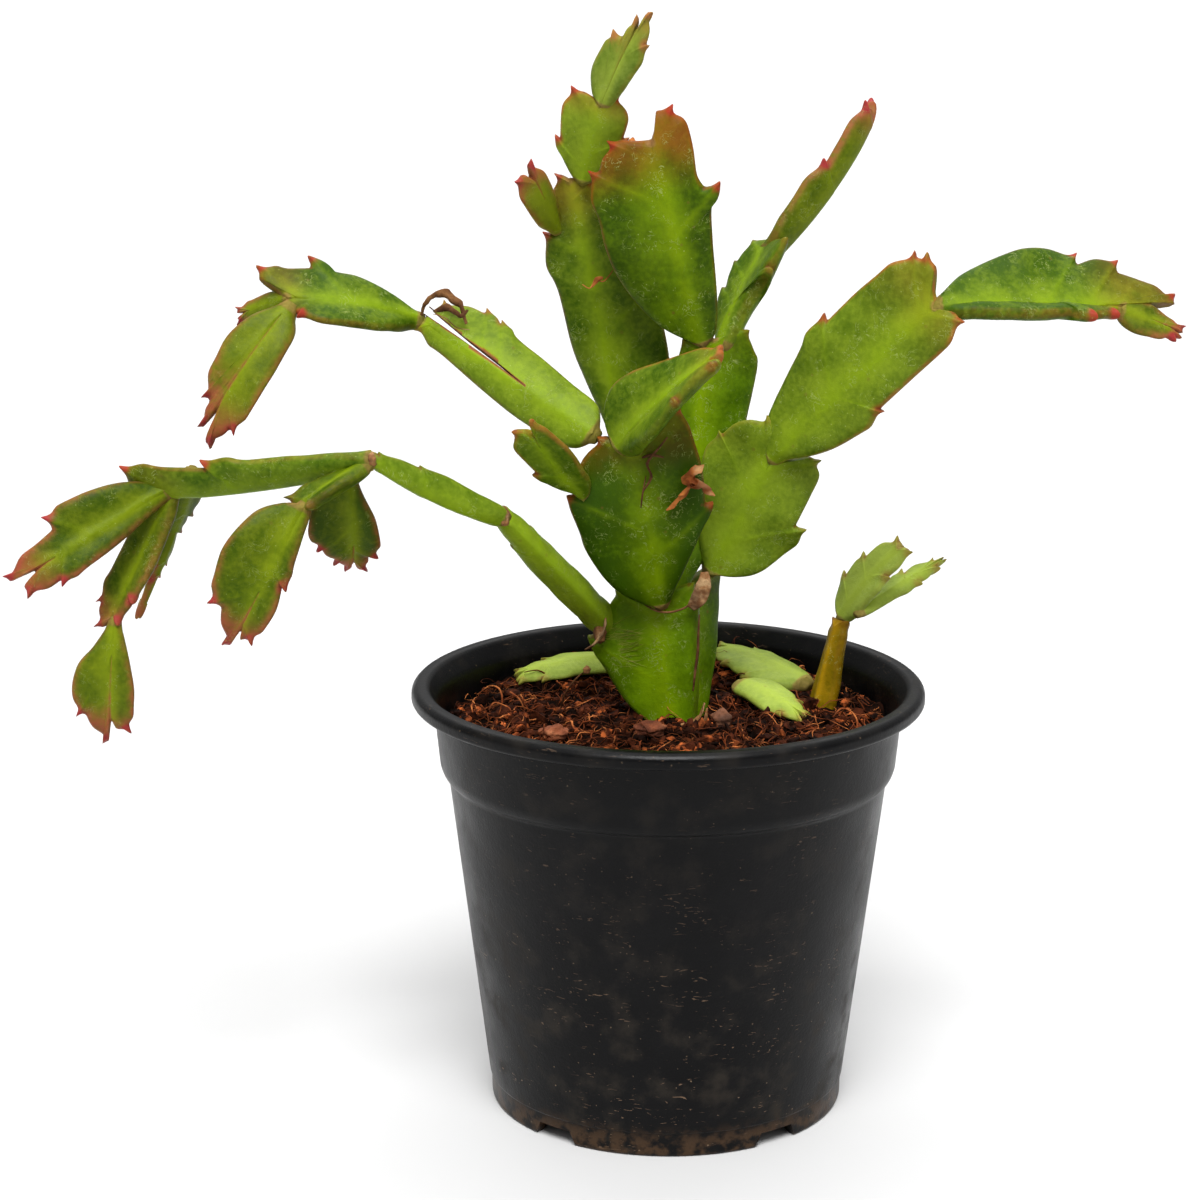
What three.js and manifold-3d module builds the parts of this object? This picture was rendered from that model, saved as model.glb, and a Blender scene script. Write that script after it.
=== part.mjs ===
// A potted christmas cactus: a jointed plant of flat, toothed stem segments in a plastic nursery pot.
// Millimetres, +Z up. Seats and tips of the segments are given from the pot's axis at floor level;
// the finished group is shifted at the end so that its origin is the middle of its footprint.
import * as THREE from "three";
import { mergeVertices } from "three/addons/utils/BufferGeometryUtils.js";
import Module from "manifold-3d";

const wasm = await Module();
wasm.setup();

// ---------------------------------------------------------------- driving dimensions, mm and degrees
const POT_HEIGHT = 101.5;
const LIP_RADIUS = 60;
const LIP_INNER_RADIUS = 55.8;
const LIP_BOTTOM = 97.7;
const COLLAR_TOP_RADIUS = 54.8;
const COLLAR_BOTTOM_RADIUS = 53.4;
const COLLAR_BOTTOM = 82.6;
const BODY_TOP_RADIUS = 51.5;
const BODY_TOP = 79.9;
const STEP_RADIUS = 42.4;
const STEP_HEIGHT = 6.1;
const FOOT_RADIUS = 41.9;
const FOOT_INNER_RADIUS = 38.9;
const POT_WALL = 1.3;
const FLOOR_BOTTOM = 3.8;
const FLOOR_TOP = 5.4;
const POT_SIDES = 64;
const FOOT_SLOT_ANGLES = [37.8, 109, 180, 251, 322.2];
const FOOT_SLOT_WIDTH = 12;
const FOOT_SLOT_HEIGHT = 3.4;
const DRAIN_HOLES = 8;
const DRAIN_RADIUS = 3.5;
const DRAIN_CIRCLE = 29;

const SOIL_TOP = 90.2;
const SOIL_GAP = 0.35;
const SOIL_LUMPS = 1.1;
const SOIL_TILT = 0.045;
const HEAP_PLACE = [14, 43];
const HEAP_HEIGHT = 4.6;
const HEAP_WIDTH = 10;
const HOLE_BOTTOM = 75;
const SEAT_GAP = 0.32;

const NECK = 2.2;
const HALF_THICK = 1.5;
const EDGE_THICK = 0.65;
const HALFWAY = 0.5;
const MIDRIB_STEPS = 7;
const RUN_STEP = 5;
const SLIVER = 0.02;

// ---------------------------------------------------------------- materials
function material(color, roughness, metalness = 0) {
  return new THREE.MeshStandardMaterial({ color, roughness, metalness });
}

const potPlastic = material(0x26282a, 0.42);
const coir = material(0x6b3420, 0.95);
const pebbleStone = material(0x8a5a40, 0.8);
const barkBrown = material(0x7a4630, 0.9);
const oldGreen = material(0x4d8a1c, 0.45);
const midGreen = material(0x6fa52c, 0.42);
const paleGreen = material(0x9cbf4c, 0.45);
const redGreen = material(0x8d8f3a, 0.45);
const stemBrown = material(0x8f7a2a, 0.6);

// ---------------------------------------------------------------- solids
function toSolid(geometry) {
  const bare = geometry.clone();
  bare.deleteAttribute("normal");
  bare.deleteAttribute("uv");
  const merged = mergeVertices(bare, 1e-4);
  return new wasm.Manifold(new wasm.Mesh({
    numProp: 3,
    vertProperties: new Float32Array(merged.attributes.position.array),
    triVerts: new Uint32Array(merged.index.array),
  }));
}

function fromPoints(points, faces) {
  const geometry = new THREE.BufferGeometry();
  geometry.setAttribute("position", new THREE.Float32BufferAttribute(points.flat(), 3));
  geometry.setIndex(faces.flat());
  return toSolid(geometry);
}

function toMesh(name, solid, look) {
  const data = solid.getMesh();
  const geometry = new THREE.BufferGeometry();
  geometry.setAttribute("position", new THREE.Float32BufferAttribute(data.vertProperties, 3));
  geometry.setIndex(new THREE.Uint32BufferAttribute(data.triVerts, 1));
  geometry.computeVertexNormals();
  const mesh = new THREE.Mesh(geometry, look);
  mesh.name = name;
  return mesh;
}

// The largest of the bodies that a cut leaves.
function largest(solid) {
  const bodies = solid.decompose();
  bodies.sort((a, b) => b.volume() - a.volume());
  return bodies[0];
}

// ---------------------------------------------------------------- stem segments
// A side of a segment is a list of [along, across] places on its edge. A third number makes the place
// a tooth: the edge runs out to its tip and falls back by that depth into the notch behind it. The last
// place is the horn at the corner of the cut-off tip, and its third number is the hollow beside it.
function splinePoint(p0, p1, p2, p3, t) {
  const axis = (a, b, c, d) => 0.5 * (2 * b + (c - a) * t + (2 * a - 5 * b + 4 * c - d) * t * t
    + (3 * b - a - 3 * c + d) * t * t * t);
  return [axis(p0[0], p1[0], p2[0], p3[0]), axis(p0[1], p1[1], p2[1], p3[1])];
}

function edgeOutline(side, length, neck) {
  const runs = [];
  let run = [[0, neck]];
  for (const [along, across, depth] of side) {
    run.push([along, across]);
    if (depth) {
      runs.push(run);
      run = [[along - 0.25 * depth, across - depth]];
    }
  }
  const [x, y, hollow] = side[side.length - 1];
  run = [[x, y], [length + (x - length) * 0.3, y - 0.6 * hollow], [length, 0]];
  runs.push(run);
  const outline = [];
  for (const places of runs) {
    const last = places.length - 1;
    for (let i = 0; i < last; i += 1) {
      const before = places[Math.max(i - 1, 0)];
      const after = places[Math.min(i + 2, last)];
      const span = Math.hypot(places[i + 1][0] - places[i][0], places[i + 1][1] - places[i][1]);
      const steps = Math.max(1, Math.round(span / RUN_STEP));
      for (let k = 0; k < steps; k += 1) {
        outline.push(splinePoint(before, places[i], places[i + 1], after, k / steps));
      }
    }
    if (places !== run && places !== runs[runs.length - 2]) {
      outline.push(places[last]);
    }
  }
  return outline;
}

// Each row runs from a station on the midrib out to a place on the edge, slanting forward as the veins
// do, and is set far enough back for the notches ahead of it to lie on its front side.
function midribStations(outline, length) {
  const stations = new Array(outline.length);
  let next = length - 0.3;
  for (let i = outline.length - 1; i >= 0; i -= 1) {
    const [x, y] = outline[i];
    let station = Math.min(next, x - 0.45 * y);
    for (let j = i + 1; j < Math.min(i + 4, outline.length); j += 1) {
      const ratio = outline[j][1] / y;
      if (ratio < 0.97) {
        station = Math.min(station, (outline[j][0] - x * ratio) / (1 - ratio) - 0.3);
      }
    }
    stations[i] = station;
    next = station - 0.15;
  }
  for (let i = 0; i < stations.length; i += 1) {
    stations[i] = Math.max(stations[i], i === 0 ? 0 : stations[i - 1] + 0.02);
  }
  return stations;
}

const vector = (list) => new THREE.Vector3(...list);
const radians = THREE.MathUtils.degToRad;

class Segment {
  constructor(name, look, seat, tip, face, options) {
    this.name = name;
    this.look = look;
    this.neck = options.neck ?? NECK;
    this.thick = options.thick ?? HALF_THICK;
    this.fold = options.fold ?? [0, 0];
    this.bow = options.bow ?? 0;
    this.twist = options.twist ?? 0;
    this.wave = options.wave ?? [0, 1, 0];
    this.left = options.left;
    this.right = options.right ?? options.left;
    this.seat = vector(seat);
    this.along = vector(tip).sub(this.seat);
    this.length = this.along.length();
    this.along.normalize();
    this.normal = vector(face);
    this.normal.addScaledVector(this.along, -this.normal.dot(this.along)).normalize();
    this.across = new THREE.Vector3().crossVectors(this.along, this.normal);
  }

  // The middle of the blade at a place (along, across) on side -1 (left) or 1 (right), lifted by
  // a height along the blade's own normal.
  place(x, y, side, height) {
    const s = x / this.length;
    const arch = 4 * s * (1 - s);
    const turn = radians(this.twist) * s;
    const normal = this.normal.clone().multiplyScalar(Math.cos(turn))
      .addScaledVector(this.across, Math.sin(turn));
    const across = this.across.clone().multiplyScalar(Math.cos(turn))
      .addScaledVector(this.normal, -Math.sin(turn));
    const ease = Math.min(1, Math.max(0, x / 8));
    const fold = radians(this.fold[side < 0 ? 0 : 1]) * (0.35 + 0.65 * ease);
    const [size, count, phase] = this.wave;
    const beat = 2 * Math.PI * count * s + phase + (side < 0 ? 0.9 : 0);
    const ripple = size * Math.sin(beat) * (y / 10) ** 2 * ease;
    const point = this.seat.clone().addScaledVector(this.along, x);
    point.addScaledVector(this.normal, this.bow * arch);
    point.addScaledVector(across, side * y * Math.cos(fold));
    point.addScaledVector(normal, y * Math.sin(fold) + ripple);
    const up = y === 0 ? normal : normal.clone().multiplyScalar(Math.cos(fold))
      .addScaledVector(across, -side * Math.sin(fold));
    return point.addScaledVector(up, height);
  }

  point(x, y) {
    return this.place(x, Math.abs(y), y < 0 ? -1 : 1, 0).toArray();
  }

  // With a growth, the solid is that much larger all round: it is the room a neighbour keeps clear of.
  solid(growth = 0) {
    const points = [];
    const faces = [];
    const add = (x, y, side, half) => {
      const reach = x + growth * THREE.MathUtils.clamp((4 * x) / this.length - 2, -1, 1);
      const width = y === 0 ? 0 : y + growth;
      const deepest = radians(Math.max(...this.fold));
      const level = half + (y === 0 ? growth / Math.cos(deepest) : growth);
      points.push(this.place(reach, width, side, level).toArray());
      points.push(this.place(reach, width, side, -level).toArray());
      return points.length - 2;
    };
    const midrib = [];
    for (let k = 0; k <= MIDRIB_STEPS; k += 1) {
      const s = k / MIDRIB_STEPS;
      const half = this.thick * (1 - 0.35 * s ** 3);
      midrib.push({ station: this.length * s, index: add(this.length * s, 0, 1, half) });
    }
    // A face is given by its top corners in order; the bottom one is its mirror image.
    const skin = (a, b, c, side) => {
      const order = side > 0 ? [a, b, c] : [a, c, b];
      faces.push(order);
      faces.push([order[0] + 1, order[2] + 1, order[1] + 1]);
    };
    const wall = (a, b, side) => {
      const [c, d] = side > 0 ? [a, b] : [b, a];
      faces.push([c, c + 1, d + 1]);
      faces.push([c, d + 1, d]);
    };
    for (const side of [-1, 1]) {
      const outline = edgeOutline(side < 0 ? this.left : this.right, this.length, this.neck);
      const stations = midribStations(outline, this.length);
      const rows = outline.map(([x, y], i) => {
        const station = stations[i];
        const half = EDGE_THICK + (this.thick - EDGE_THICK) * 0.62;
        const middle = add(station + (x - station) * HALFWAY, y * HALFWAY, side, half);
        return { station, middle, edge: add(x, y, side, EDGE_THICK) };
      });
      const end = midrib[MIDRIB_STEPS].index;
      for (let i = 0; i + 1 < rows.length; i += 1) {
        skin(rows[i].middle, rows[i].edge, rows[i + 1].edge, side);
        skin(rows[i].middle, rows[i + 1].edge, rows[i + 1].middle, side);
        wall(rows[i].edge, rows[i + 1].edge, side);
      }
      const final = rows[rows.length - 1];
      skin(final.middle, final.edge, end, side);
      wall(final.edge, end, side);
      wall(midrib[0].index, rows[0].middle, side);
      wall(rows[0].middle, rows[0].edge, side);
      let i = 0;
      let k = 0;
      while (i + 1 < rows.length || k < MIDRIB_STEPS) {
        const rowNext = i + 1 < rows.length ? rows[i + 1].station : Infinity;
        const ribNext = k < MIDRIB_STEPS ? midrib[k + 1].station : Infinity;
        if (rowNext < ribNext || k === MIDRIB_STEPS) {
          skin(midrib[k].index, rows[i].middle, rows[i + 1].middle, side);
          i += 1;
        } else {
          skin(midrib[k].index, rows[i].middle, midrib[k + 1].index, side);
          k += 1;
        }
      }
    }
    return fromPoints(points, faces);
  }
}

const segments = {};
const order = [];

// A segment grows from `from`: a place [parent, along, across] on another one, or a point in space.
function grow(name, look, from, tip, face, options) {
  const onParent = typeof from[0] === "string";
  const seat = onParent ? segments[from[0]].point(from[1], from[2]) : from;
  const segment = new Segment(name, look, seat, tip, face, options);
  segment.clear = options.clear ?? [];
  if (onParent) {
    segment.clear = [from[0] === "trunk_wing" ? "trunk_segment" : from[0], ...segment.clear];
  }
  segments[name] = segment;
  order.push(segment);
  return segment;
}

grow("trunk_segment", oldGreen, [4, 4.6, 75.5], [-3.1, 2, 122.9], [-0.25, -1, 0.1], {
  neck: 4.2, thick: 3,
  left: [[12, 5.2], [16, 6.6], [23, 11.8], [31, 15.5], [38, 17.9, 1.2], [43, 12.5], [49, 9.5, 1]],
  right: [[12, 4.8], [16, 5.4], [24, 7], [34, 8.4], [44, 10], [49, 9.5, 1]],
});
grow("trunk_wing", oldGreen, [5.5, 6.5, 80], [2.5, 6, 124], [-0.8, 0.7, 0], {
  neck: 1, thick: 2,
  left: [[8, 4], [16, 7.5], [28, 11.5], [40, 14], [46, 14.5, 1]],
  right: [[10, 2], [30, 3], [42, 2, 0.5]],
});

grow("front_segment", oldGreen, [-1.7, -3, 121], [-7.3, -13, 159.9], [0, -1, 0.15], {
  thick: 1.9, bow: 1.5, wave: [0.4, 1.4, 0.5], clear: ["trunk_segment"],
  left: [[1.3, 4.7], [5.6, 9.5], [11.2, 13], [17, 15.3], [21.7, 15.9], [28.2, 17.1], [31.8, 17.4, 1.8],
    [37.9, 13.4], [43.7, 8.6, 2]],
  right: [[3.9, 3.8], [8, 6.2], [14.4, 9.8], [19.3, 12.8], [24.3, 15.2, 1.8], [33.5, 13.9], [40.2, 12.9],
    [48.2, 11, 3.5]],
});
grow("front_left_segment", midGreen, ["front_segment", 31, -13.5], [-31, -26, 166.4], [-0.5, -0.9, 0.5], {
  fold: [25, 25], neck: 1.6, thick: 1.3,
  left: [[3.4, 1.9], [5.4, 3.6], [9.6, 5.3], [13.4, 6.4, 1], [22, 6], [26.8, 3.9, 1]],
  right: [[4, 4], [9.7, 5.7], [16.4, 6.4], [20.5, 5.4], [24.5, 4.2], [28, 2.5, 1]],
});
grow("front_top_segment", midGreen, ["front_segment", 41, -3.8], [11.4, -30, 182.8], [-0.3, -0.9, 0.2], {
  fold: [10, 40], twist: -50, bow: 2, thick: 1.6, neck: 2.6,
  left: [[0.6, 5.5], [3, 9], [8, 11.5], [14, 11.5], [22, 9.4], [30, 7], [36.5, 4, 1.5]],
  right: [[2, 4], [8, 7], [16, 9], [26, 8.5, 1], [36, 5, 2]],
});

grow("right_segment_1", midGreen, [9.7, 6, 126.8], [23.9, 1, 154.8], [0.1, -1, 0.15], {
  thick: 1.8, bow: -1, wave: [0.6, 1.6, 1.4], clear: ["trunk_segment", "front_segment"],
  left: [[3.4, 4.4], [9.8, 8.2], [16.3, 11.8], [23, 13.9], [31.1, 13.7, 1], [35.4, 11.6], [40.2, 6, 3]],
  right: [[2.2, 7.3], [5.6, 11], [12.6, 14.5], [19.3, 14.9, 2.6], [25.6, 12.3], [31, 12.1],
    [36, 9.9, 2.4]],
});
grow("right_segment_2", midGreen, ["right_segment_1", 31.2, 0], [59.1, -18, 193], [0, -1, 0.25], {
  fold: [-8, 16], thick: 1.8, bow: 1, wave: [0.5, 2.2, 0],
  left: [[0.6, 2.8], [8, 8.3], [16, 11.4], [24.5, 14.1], [33.4, 15.9, 1.6], [41.7, 14.6], [50.1, 14.1],
    [59.1, 12, 1], [61, 9.8, 3.4]],
  right: [[3.4, 2.9], [9, 6], [15.2, 8.5], [22, 9.9], [30, 9.5, 0.8], [39.6, 8.7], [49.3, 8.8],
    [57.7, 6.9, 3]],
});
grow("right_segment_3", midGreen, ["right_segment_2", 54.9, 0.3], [101.1, -8, 190.4], [0, -0.8, 0.6], {
  fold: [0, 52], thick: 1.6, bow: 0.6, wave: [0.6, 2, 1],
  left: [[2.1, 3.8], [6.4, 7.9], [12.1, 11.3], [19.1, 13.7], [25.8, 15.3], [34.8, 14.4, 3],
    [43.9, 12.1, 3], [50, 7.6], [57, 4.4, 2.4]],
  right: [[3.9, 3.4], [12.9, 5.4], [21.7, 5.8], [30, 5.4], [34.6, 8, 3], [41.3, 4, 1]],
});
grow("right_young_tip", redGreen, ["right_segment_3", 42.6, 0.6], [115.1, -6, 184.3], [0, -0.8, 0.6], {
  fold: [20, 30], neck: 1.3, thick: 1.2,
  left: [[1.8, 3], [6.6, 4.4], [12, 3], [16, 2.2, 0.8]],
  right: [[1.5, 3], [4.8, 4.9], [9, 4.6], [14, 2.4, 0.8]],
});

grow("middle_segment", oldGreen, ["trunk_segment", 46, 4], [10, 14, 180.3], [0.1, -1, 0.1], {
  thick: 1.8, bow: -5, neck: 2.6, clear: ["front_segment", "right_segment_1"],
  left: [[7, 4.5], [21, 7.5], [40, 7.5, 0.8], [59.6, 7, 1.2]],
  right: [[7, 5], [17, 9.5], [29, 11], [42, 12.2, 1], [56, 11.6], [64, 8.2, 3]],
});
grow("tall_segment", oldGreen, ["middle_segment", 59.6, -2.2], [-4.7, 6, 226.7], [-0.1, -1, 0.15], {
  thick: 1.8, bow: 2, wave: [0.5, 1.2, 2],
  left: [[3, 4.7], [7.2, 9], [13.6, 12.7], [20.8, 15.1], [28.2, 15.9], [35.2, 15.7],
    [45.4, 15.2, 2.4], [51, 9.4, 2.6]],
  right: [[2.6, 4], [10.6, 6.1], [23.8, 8.3], [31.6, 10], [36.4, 12.9, 3.6], [39.4, 8.5], [45.6, 9.1],
    [51, 9], [55.4, 6.6, 4]],
});
grow("side_segment_1", midGreen, ["middle_segment", 59.4, 3], [24.2, 24, 201.9], [-0.8, -0.45, 0.1], {
  fold: [20, 20], thick: 1.8,
  left: [[3, 4.4], [9, 7.2], [14, 8.6, 1.2], [21, 8.6, 1], [27, 6.4, 1.5]],
  right: [[3, 3], [8, 3.4], [12, 4.4], [16, 7], [19, 11, 1.2], [26.5, 13, 3]],
});
grow("side_segment_2", redGreen, ["side_segment_1", 24.6, 0.5], [47, 32, 231.4], [-0.9, 0.25, 0.5], {
  fold: [42, 42], thick: 1.7, bow: -1.6,
  left: [[2, 4.4], [5, 6.4], [12, 6], [22, 5, 1], [30, 4.6], [43.6, 3.4, 2.2]],
  right: [[2, 3.6], [6, 5.6], [14, 6.6], [24, 6, 1.2], [32, 5.4], [41, 3.8, 2.2]],
});

grow("back_segment_1", oldGreen, ["trunk_segment", 46.5, -4], [-10.5, 24, 154], [-0.05, -1, 0.1], {
  thick: 1.8, bow: -3, clear: ["front_segment", "middle_segment"],
  left: [[3, 5], [10, 9], [20, 11], [28, 10.5, 1.5], [35, 7.5, 2]],
});
grow("back_segment_2", midGreen, ["back_segment_1", 38, 0], [-23.3, 18, 216.8], [-0.1, -1, 0.1], {
  thick: 1.7, bow: -2, wave: [0.6, 1.8, 0],
  left: [[5, 3.6], [10.5, 4.8], [18, 6.6], [26, 8], [40, 8.4], [53.6, 8.8, 3.2], [61, 5],
    [67, 3, 1.2]],
  right: [[4.5, 7.6], [10, 11.4], [17, 14], [29, 14.2], [36, 12.6, 1], [42, 10.4], [52, 7.6],
    [64.4, 5.4, 1.5]],
});
grow("back_segment_3", midGreen, ["back_segment_2", 64.6, 2.8], [-15.7, 12, 234.9], [0, -1, 0.1], {
  thick: 1.4,
  left: [[1.4, 3.4], [5.4, 6.6], [8.8, 8.3, 1], [15, 8.5], [21.2, 7.4, 3]],
  right: [[1.8, 3.6], [7.2, 6.8], [12.6, 7.7, 1], [17.4, 6.9], [22.6, 3.6, 2]],
});
grow("back_segment_4", paleGreen, ["back_segment_3", 19.4, 0.6], [-7.1, 4, 252.8], [-0.35, -0.9, 0], {
  fold: [12, 25], neck: 1.8, thick: 1.3,
  left: [[1.4, 3.8], [6.4, 6], [13, 5.8], [17, 4.8, 2.6], [23, 1.1, 0.4]],
  right: [[2.6, 2.4], [7.4, 4], [12.4, 5], [19, 4.8, 0.8], [25.6, 1.6, 0.8]],
});
grow("back_young_segment", redGreen, ["back_segment_2", 53.6, -5.6], [-32.5, 8, 219.2], [0.3, -0.9, 0.3], {
  fold: [18, 18], neck: 1.3, thick: 1.2,
  left: [[2.4, 2.2], [7.2, 4.4], [15.6, 5.6], [21.8, 4.4, 2.4]],
  right: [[2.4, 2], [9, 3.4], [15.4, 3.8], [22.6, 1.8, 1]],
});

grow("upper_left_segment_1", midGreen, [-16.9, -11.4, 161.9], [-57, 6, 185.2], [0, -1, 0.35], {
  fold: [-12, -16], thick: 1.5, bow: 1, clear: ["front_segment", "front_top_segment"],
  left: [[3.6, 5.6], [15.4, 6.6], [26.9, 5.8], [41.3, 4], [49.4, 2.4, 0.5]],
  right: [[3.5, 6.2], [11.5, 7.4], [20.7, 8.6], [29, 9.4], [34, 10.7, 0.8], [38.8, 11.2, 1.2],
    [48.3, 7.2, 1.5]],
});
grow("upper_left_segment_2", midGreen, ["upper_left_segment_1", 50.2, -0.2], [-87.4, -4, 191.4],
  [0, -0.8, 0.6], {
    fold: [30, 0], thick: 1.5, bow: 1.5,
    left: [[2.5, 3], [7, 5.4], [12.8, 7], [21.1, 7.4], [29.2, 5.8, 1]],
    right: [[2.1, 2.4], [7.3, 5.1], [14.8, 7.9], [21, 8.6], [26.2, 11.6, 3], [31.5, 8.2],
      [37.6, 8.4, 3.4]],
  });
grow("upper_left_segment_3", redGreen, ["upper_left_segment_2", 30.8, -2.4], [-103, -14, 165.6],
  [-0.2, -1, 0.2], {
    fold: [16, 20], thick: 1.4, bow: 2,
    left: [[2, 3], [5.9, 5.6], [15, 6.9], [25.1, 7.3], [30.6, 6.3, 1.5], [36, 2.8, 1.7]],
    right: [[2, 3], [6.6, 5.9], [13.3, 7.5], [19, 6.9], [27.5, 4.4, 1.8], [33.5, 1.8, 0.9]],
  });
grow("upper_left_young_tip", redGreen, ["upper_left_segment_2", 30.8, 0.4], [-99.1, 4, 186.6],
  [0, -1, 0.4], {
    fold: [15, 15], neck: 1.2, thick: 1.1, clear: ["upper_left_segment_3"],
    left: [[2, 2], [5, 3], [10.5, 2.6], [15.5, 1.8, 0.6]],
  });

grow("lower_left_segment_1", midGreen, ["trunk_segment", 40, -12.5], [-38.2, -22, 146.5],
  [-0.5, 0.84, 0.15], {
    fold: [56, 56], thick: 1.7, bow: -1,
    left: [[3, 4.2], [12, 5.8], [24, 6], [38, 5.2, 0.8], [48, 3.4, 0.8]],
  });
grow("lower_left_segment_2", midGreen, ["lower_left_segment_1", 47, 0], [-66.8, -34, 161.7],
  [0.1, 0.75, 0.65], {
    fold: [58, 58], thick: 1.6, bow: -1.5,
    left: [[3, 3.4], [12, 4.8], [24, 5, 0.6], [34, 3.2, 0.8]],
  });
grow("lower_left_segment_3", midGreen, ["lower_left_segment_2", 34.4, 0], [-111.8, -24, 151.1],
  [0, 0.28, 1], {
    fold: [52, 50], thick: 1.6, bow: -0.6,
    left: [[3, 3.6], [14, 5.6], [28, 7], [37.6, 8.2, 2], [48, 8.2], [56.6, 9, 4]],
    right: [[3, 3.6], [12, 6], [24, 7.4], [33, 7.6, 1.5], [46, 7.6, 2.5]],
  });
grow("lower_left_end_1", redGreen, ["lower_left_segment_3", 48.6, -1], [-141.5, -36, 134.5],
  [0, -1, 0.3], {
    fold: [18, 16], thick: 1.4, bow: 1.5,
    left: [[1.5, 2.2], [8.3, 3.6], [15.4, 5], [25, 6.2], [30.4, 6.2, 1.2], [38, 4, 2.6]],
    right: [[2, 3.6], [8, 7], [14.6, 8.9], [21, 9.7], [26, 9, 3.4], [31, 5], [40, 2.6, 1.6]],
  });
grow("lower_left_end_2", redGreen, ["lower_left_segment_3", 47.4, 0.6], [-124.9, -28, 121.9],
  [-0.5, -0.8, 0.1], {
    fold: [35, 15], thick: 1.4, bow: -1, clear: ["lower_left_end_1"],
    left: [[2, 2], [7.3, 3.6], [17.2, 4.6], [26, 4, 0.8], [32, 2.6, 1]],
    right: [[2, 2.6], [7.6, 5], [13, 6.2], [22.4, 6.4], [30, 5.6, 0.8], [35, 3, 1.6]],
  });
grow("lower_left_end_3", redGreen, ["lower_left_end_2", 32, -0.5], [-125.8, -28, 97.3],
  [0, -1, 0], {
    fold: [16, 16], neck: 1.6, thick: 1.3, bow: 1.5,
    left: [[2, 1.8], [5, 2.8], [10, 4.4], [15.2, 5.4], [19.4, 5.4], [25.4, 4.2, 2]],
    right: [[2, 2], [6.3, 4.7], [10, 7.8], [15.1, 9], [18.6, 8.6], [21.8, 7.6, 1.8], [28.8, 1.8, 1.1]],
  });
grow("lower_left_end_4", redGreen, ["lower_left_segment_3", 44.5, 7.4], [-117.9, -4, 129.9],
  [0.7, -0.7, 0], {
    fold: [10, 10], neck: 1.6, thick: 1.3, clear: ["lower_left_end_2"],
    left: [[2, 3], [8, 4.8], [15, 4.4, 1.2], [20, 2.8, 1]],
  });
grow("lower_left_end_5", redGreen, ["lower_left_end_4", 18.2, 0], [-123.1, -6, 117.3],
  [0.8, -0.5, 0], {
    neck: 1.2, thick: 1.1, left: [[2, 2.2], [6, 3.2], [10.5, 2.8, 0.8], [13.6, 1.8, 0.6]],
  });
grow("lower_left_short_segment", redGreen, [-66, -34.4, 159.4], [-80.4, -40, 150.4],
  [0, -0.2, 1], {
    fold: [38, 38], neck: 1.5, thick: 1.3, clear: ["lower_left_segment_2", "lower_left_segment_3"],
    left: [[2, 2.4], [6, 4], [11, 4.4], [16, 3.4, 1]],
    right: [[2, 2.6], [5, 3.8], [11, 4.8], [18.2, 5.2, 1.6]],
  });
grow("lower_left_hanging_1", redGreen, ["lower_left_short_segment", 16.6, 0.5], [-94.4, -44, 122.7],
  [0, -1, 0.1], {
    fold: [20, 16], neck: 1.8, thick: 1.4, bow: 3,
    left: [[2, 2.4], [7, 3.2], [12.8, 4.4], [17.3, 5, 1], [22.4, 5.3], [27, 5], [31.6, 3.6, 2]],
    right: [[1.3, 4.6], [4.8, 8.6], [9.8, 10.8], [15.7, 11.8], [21.8, 10.8], [27.4, 9, 3],
      [34.8, 2, 1.4]],
  });
grow("lower_left_hanging_2", redGreen, ["lower_left_segment_3", 6, 0.6], [-71.4, -18, 133],
  [0.2, -1, 0], {
    fold: [14, 14], neck: 1.6, thick: 1.3, bow: 2, clear: ["lower_left_segment_2"],
    left: [[2, 1.8], [5.5, 2.4], [9.6, 3.8], [14.5, 5.6], [20.6, 6.4], [25.6, 5.4, 2], [31, 2.9, 1.6]],
    right: [[1.4, 3], [4.4, 6], [8.6, 9], [13.4, 10.3], [16, 10.2], [20.4, 8.2, 0.8],
      [26.6, 4.4, 1], [30.4, 1.6, 0.8]],
  });

grow("small_stem", stemBrown, [34.4, 14.4, 77.5], [41.8, 20, 112.6], [-0.75, -0.6, 0], {
  fold: [20, 20], neck: 2.6, thick: 2,
  left: [[8, 3], [12, 4.2], [20, 3.8], [30, 3], [35, 2.6, 0.5]],
});
grow("small_stem_segment_1", paleGreen, ["small_stem", 35.4, 0], [55.3, 14, 131], [-0.5, -0.8, 0.3], {
  fold: [10, 30], neck: 1.8, thick: 1.3, bow: 1,
  left: [[2, 4.2], [6.4, 5.9], [9, 6.7, 0.8], [13.6, 6.3], [16, 6, 1], [20, 4.7], [24.5, 2.6, 1]],
  right: [[2, 2.6], [5, 3.6], [12, 4.2], [17, 3.8, 0.8], [25, 3.2, 1.2]],
});
grow("small_stem_segment_2", paleGreen, ["small_stem_segment_1", 5, 3.4], [67.1, 32, 123.8],
  [0, -0.6, 0.8], {
    fold: [18, 18], neck: 1.3, thick: 1.1,
    left: [[3, 2.4], [12, 3], [17, 3.6, 1], [26, 1.8, 0.8]],
    right: [[3, 1.8], [11, 2.2], [18, 2.4, 0.8], [25, 1.4, 0.6]],
  });

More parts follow.
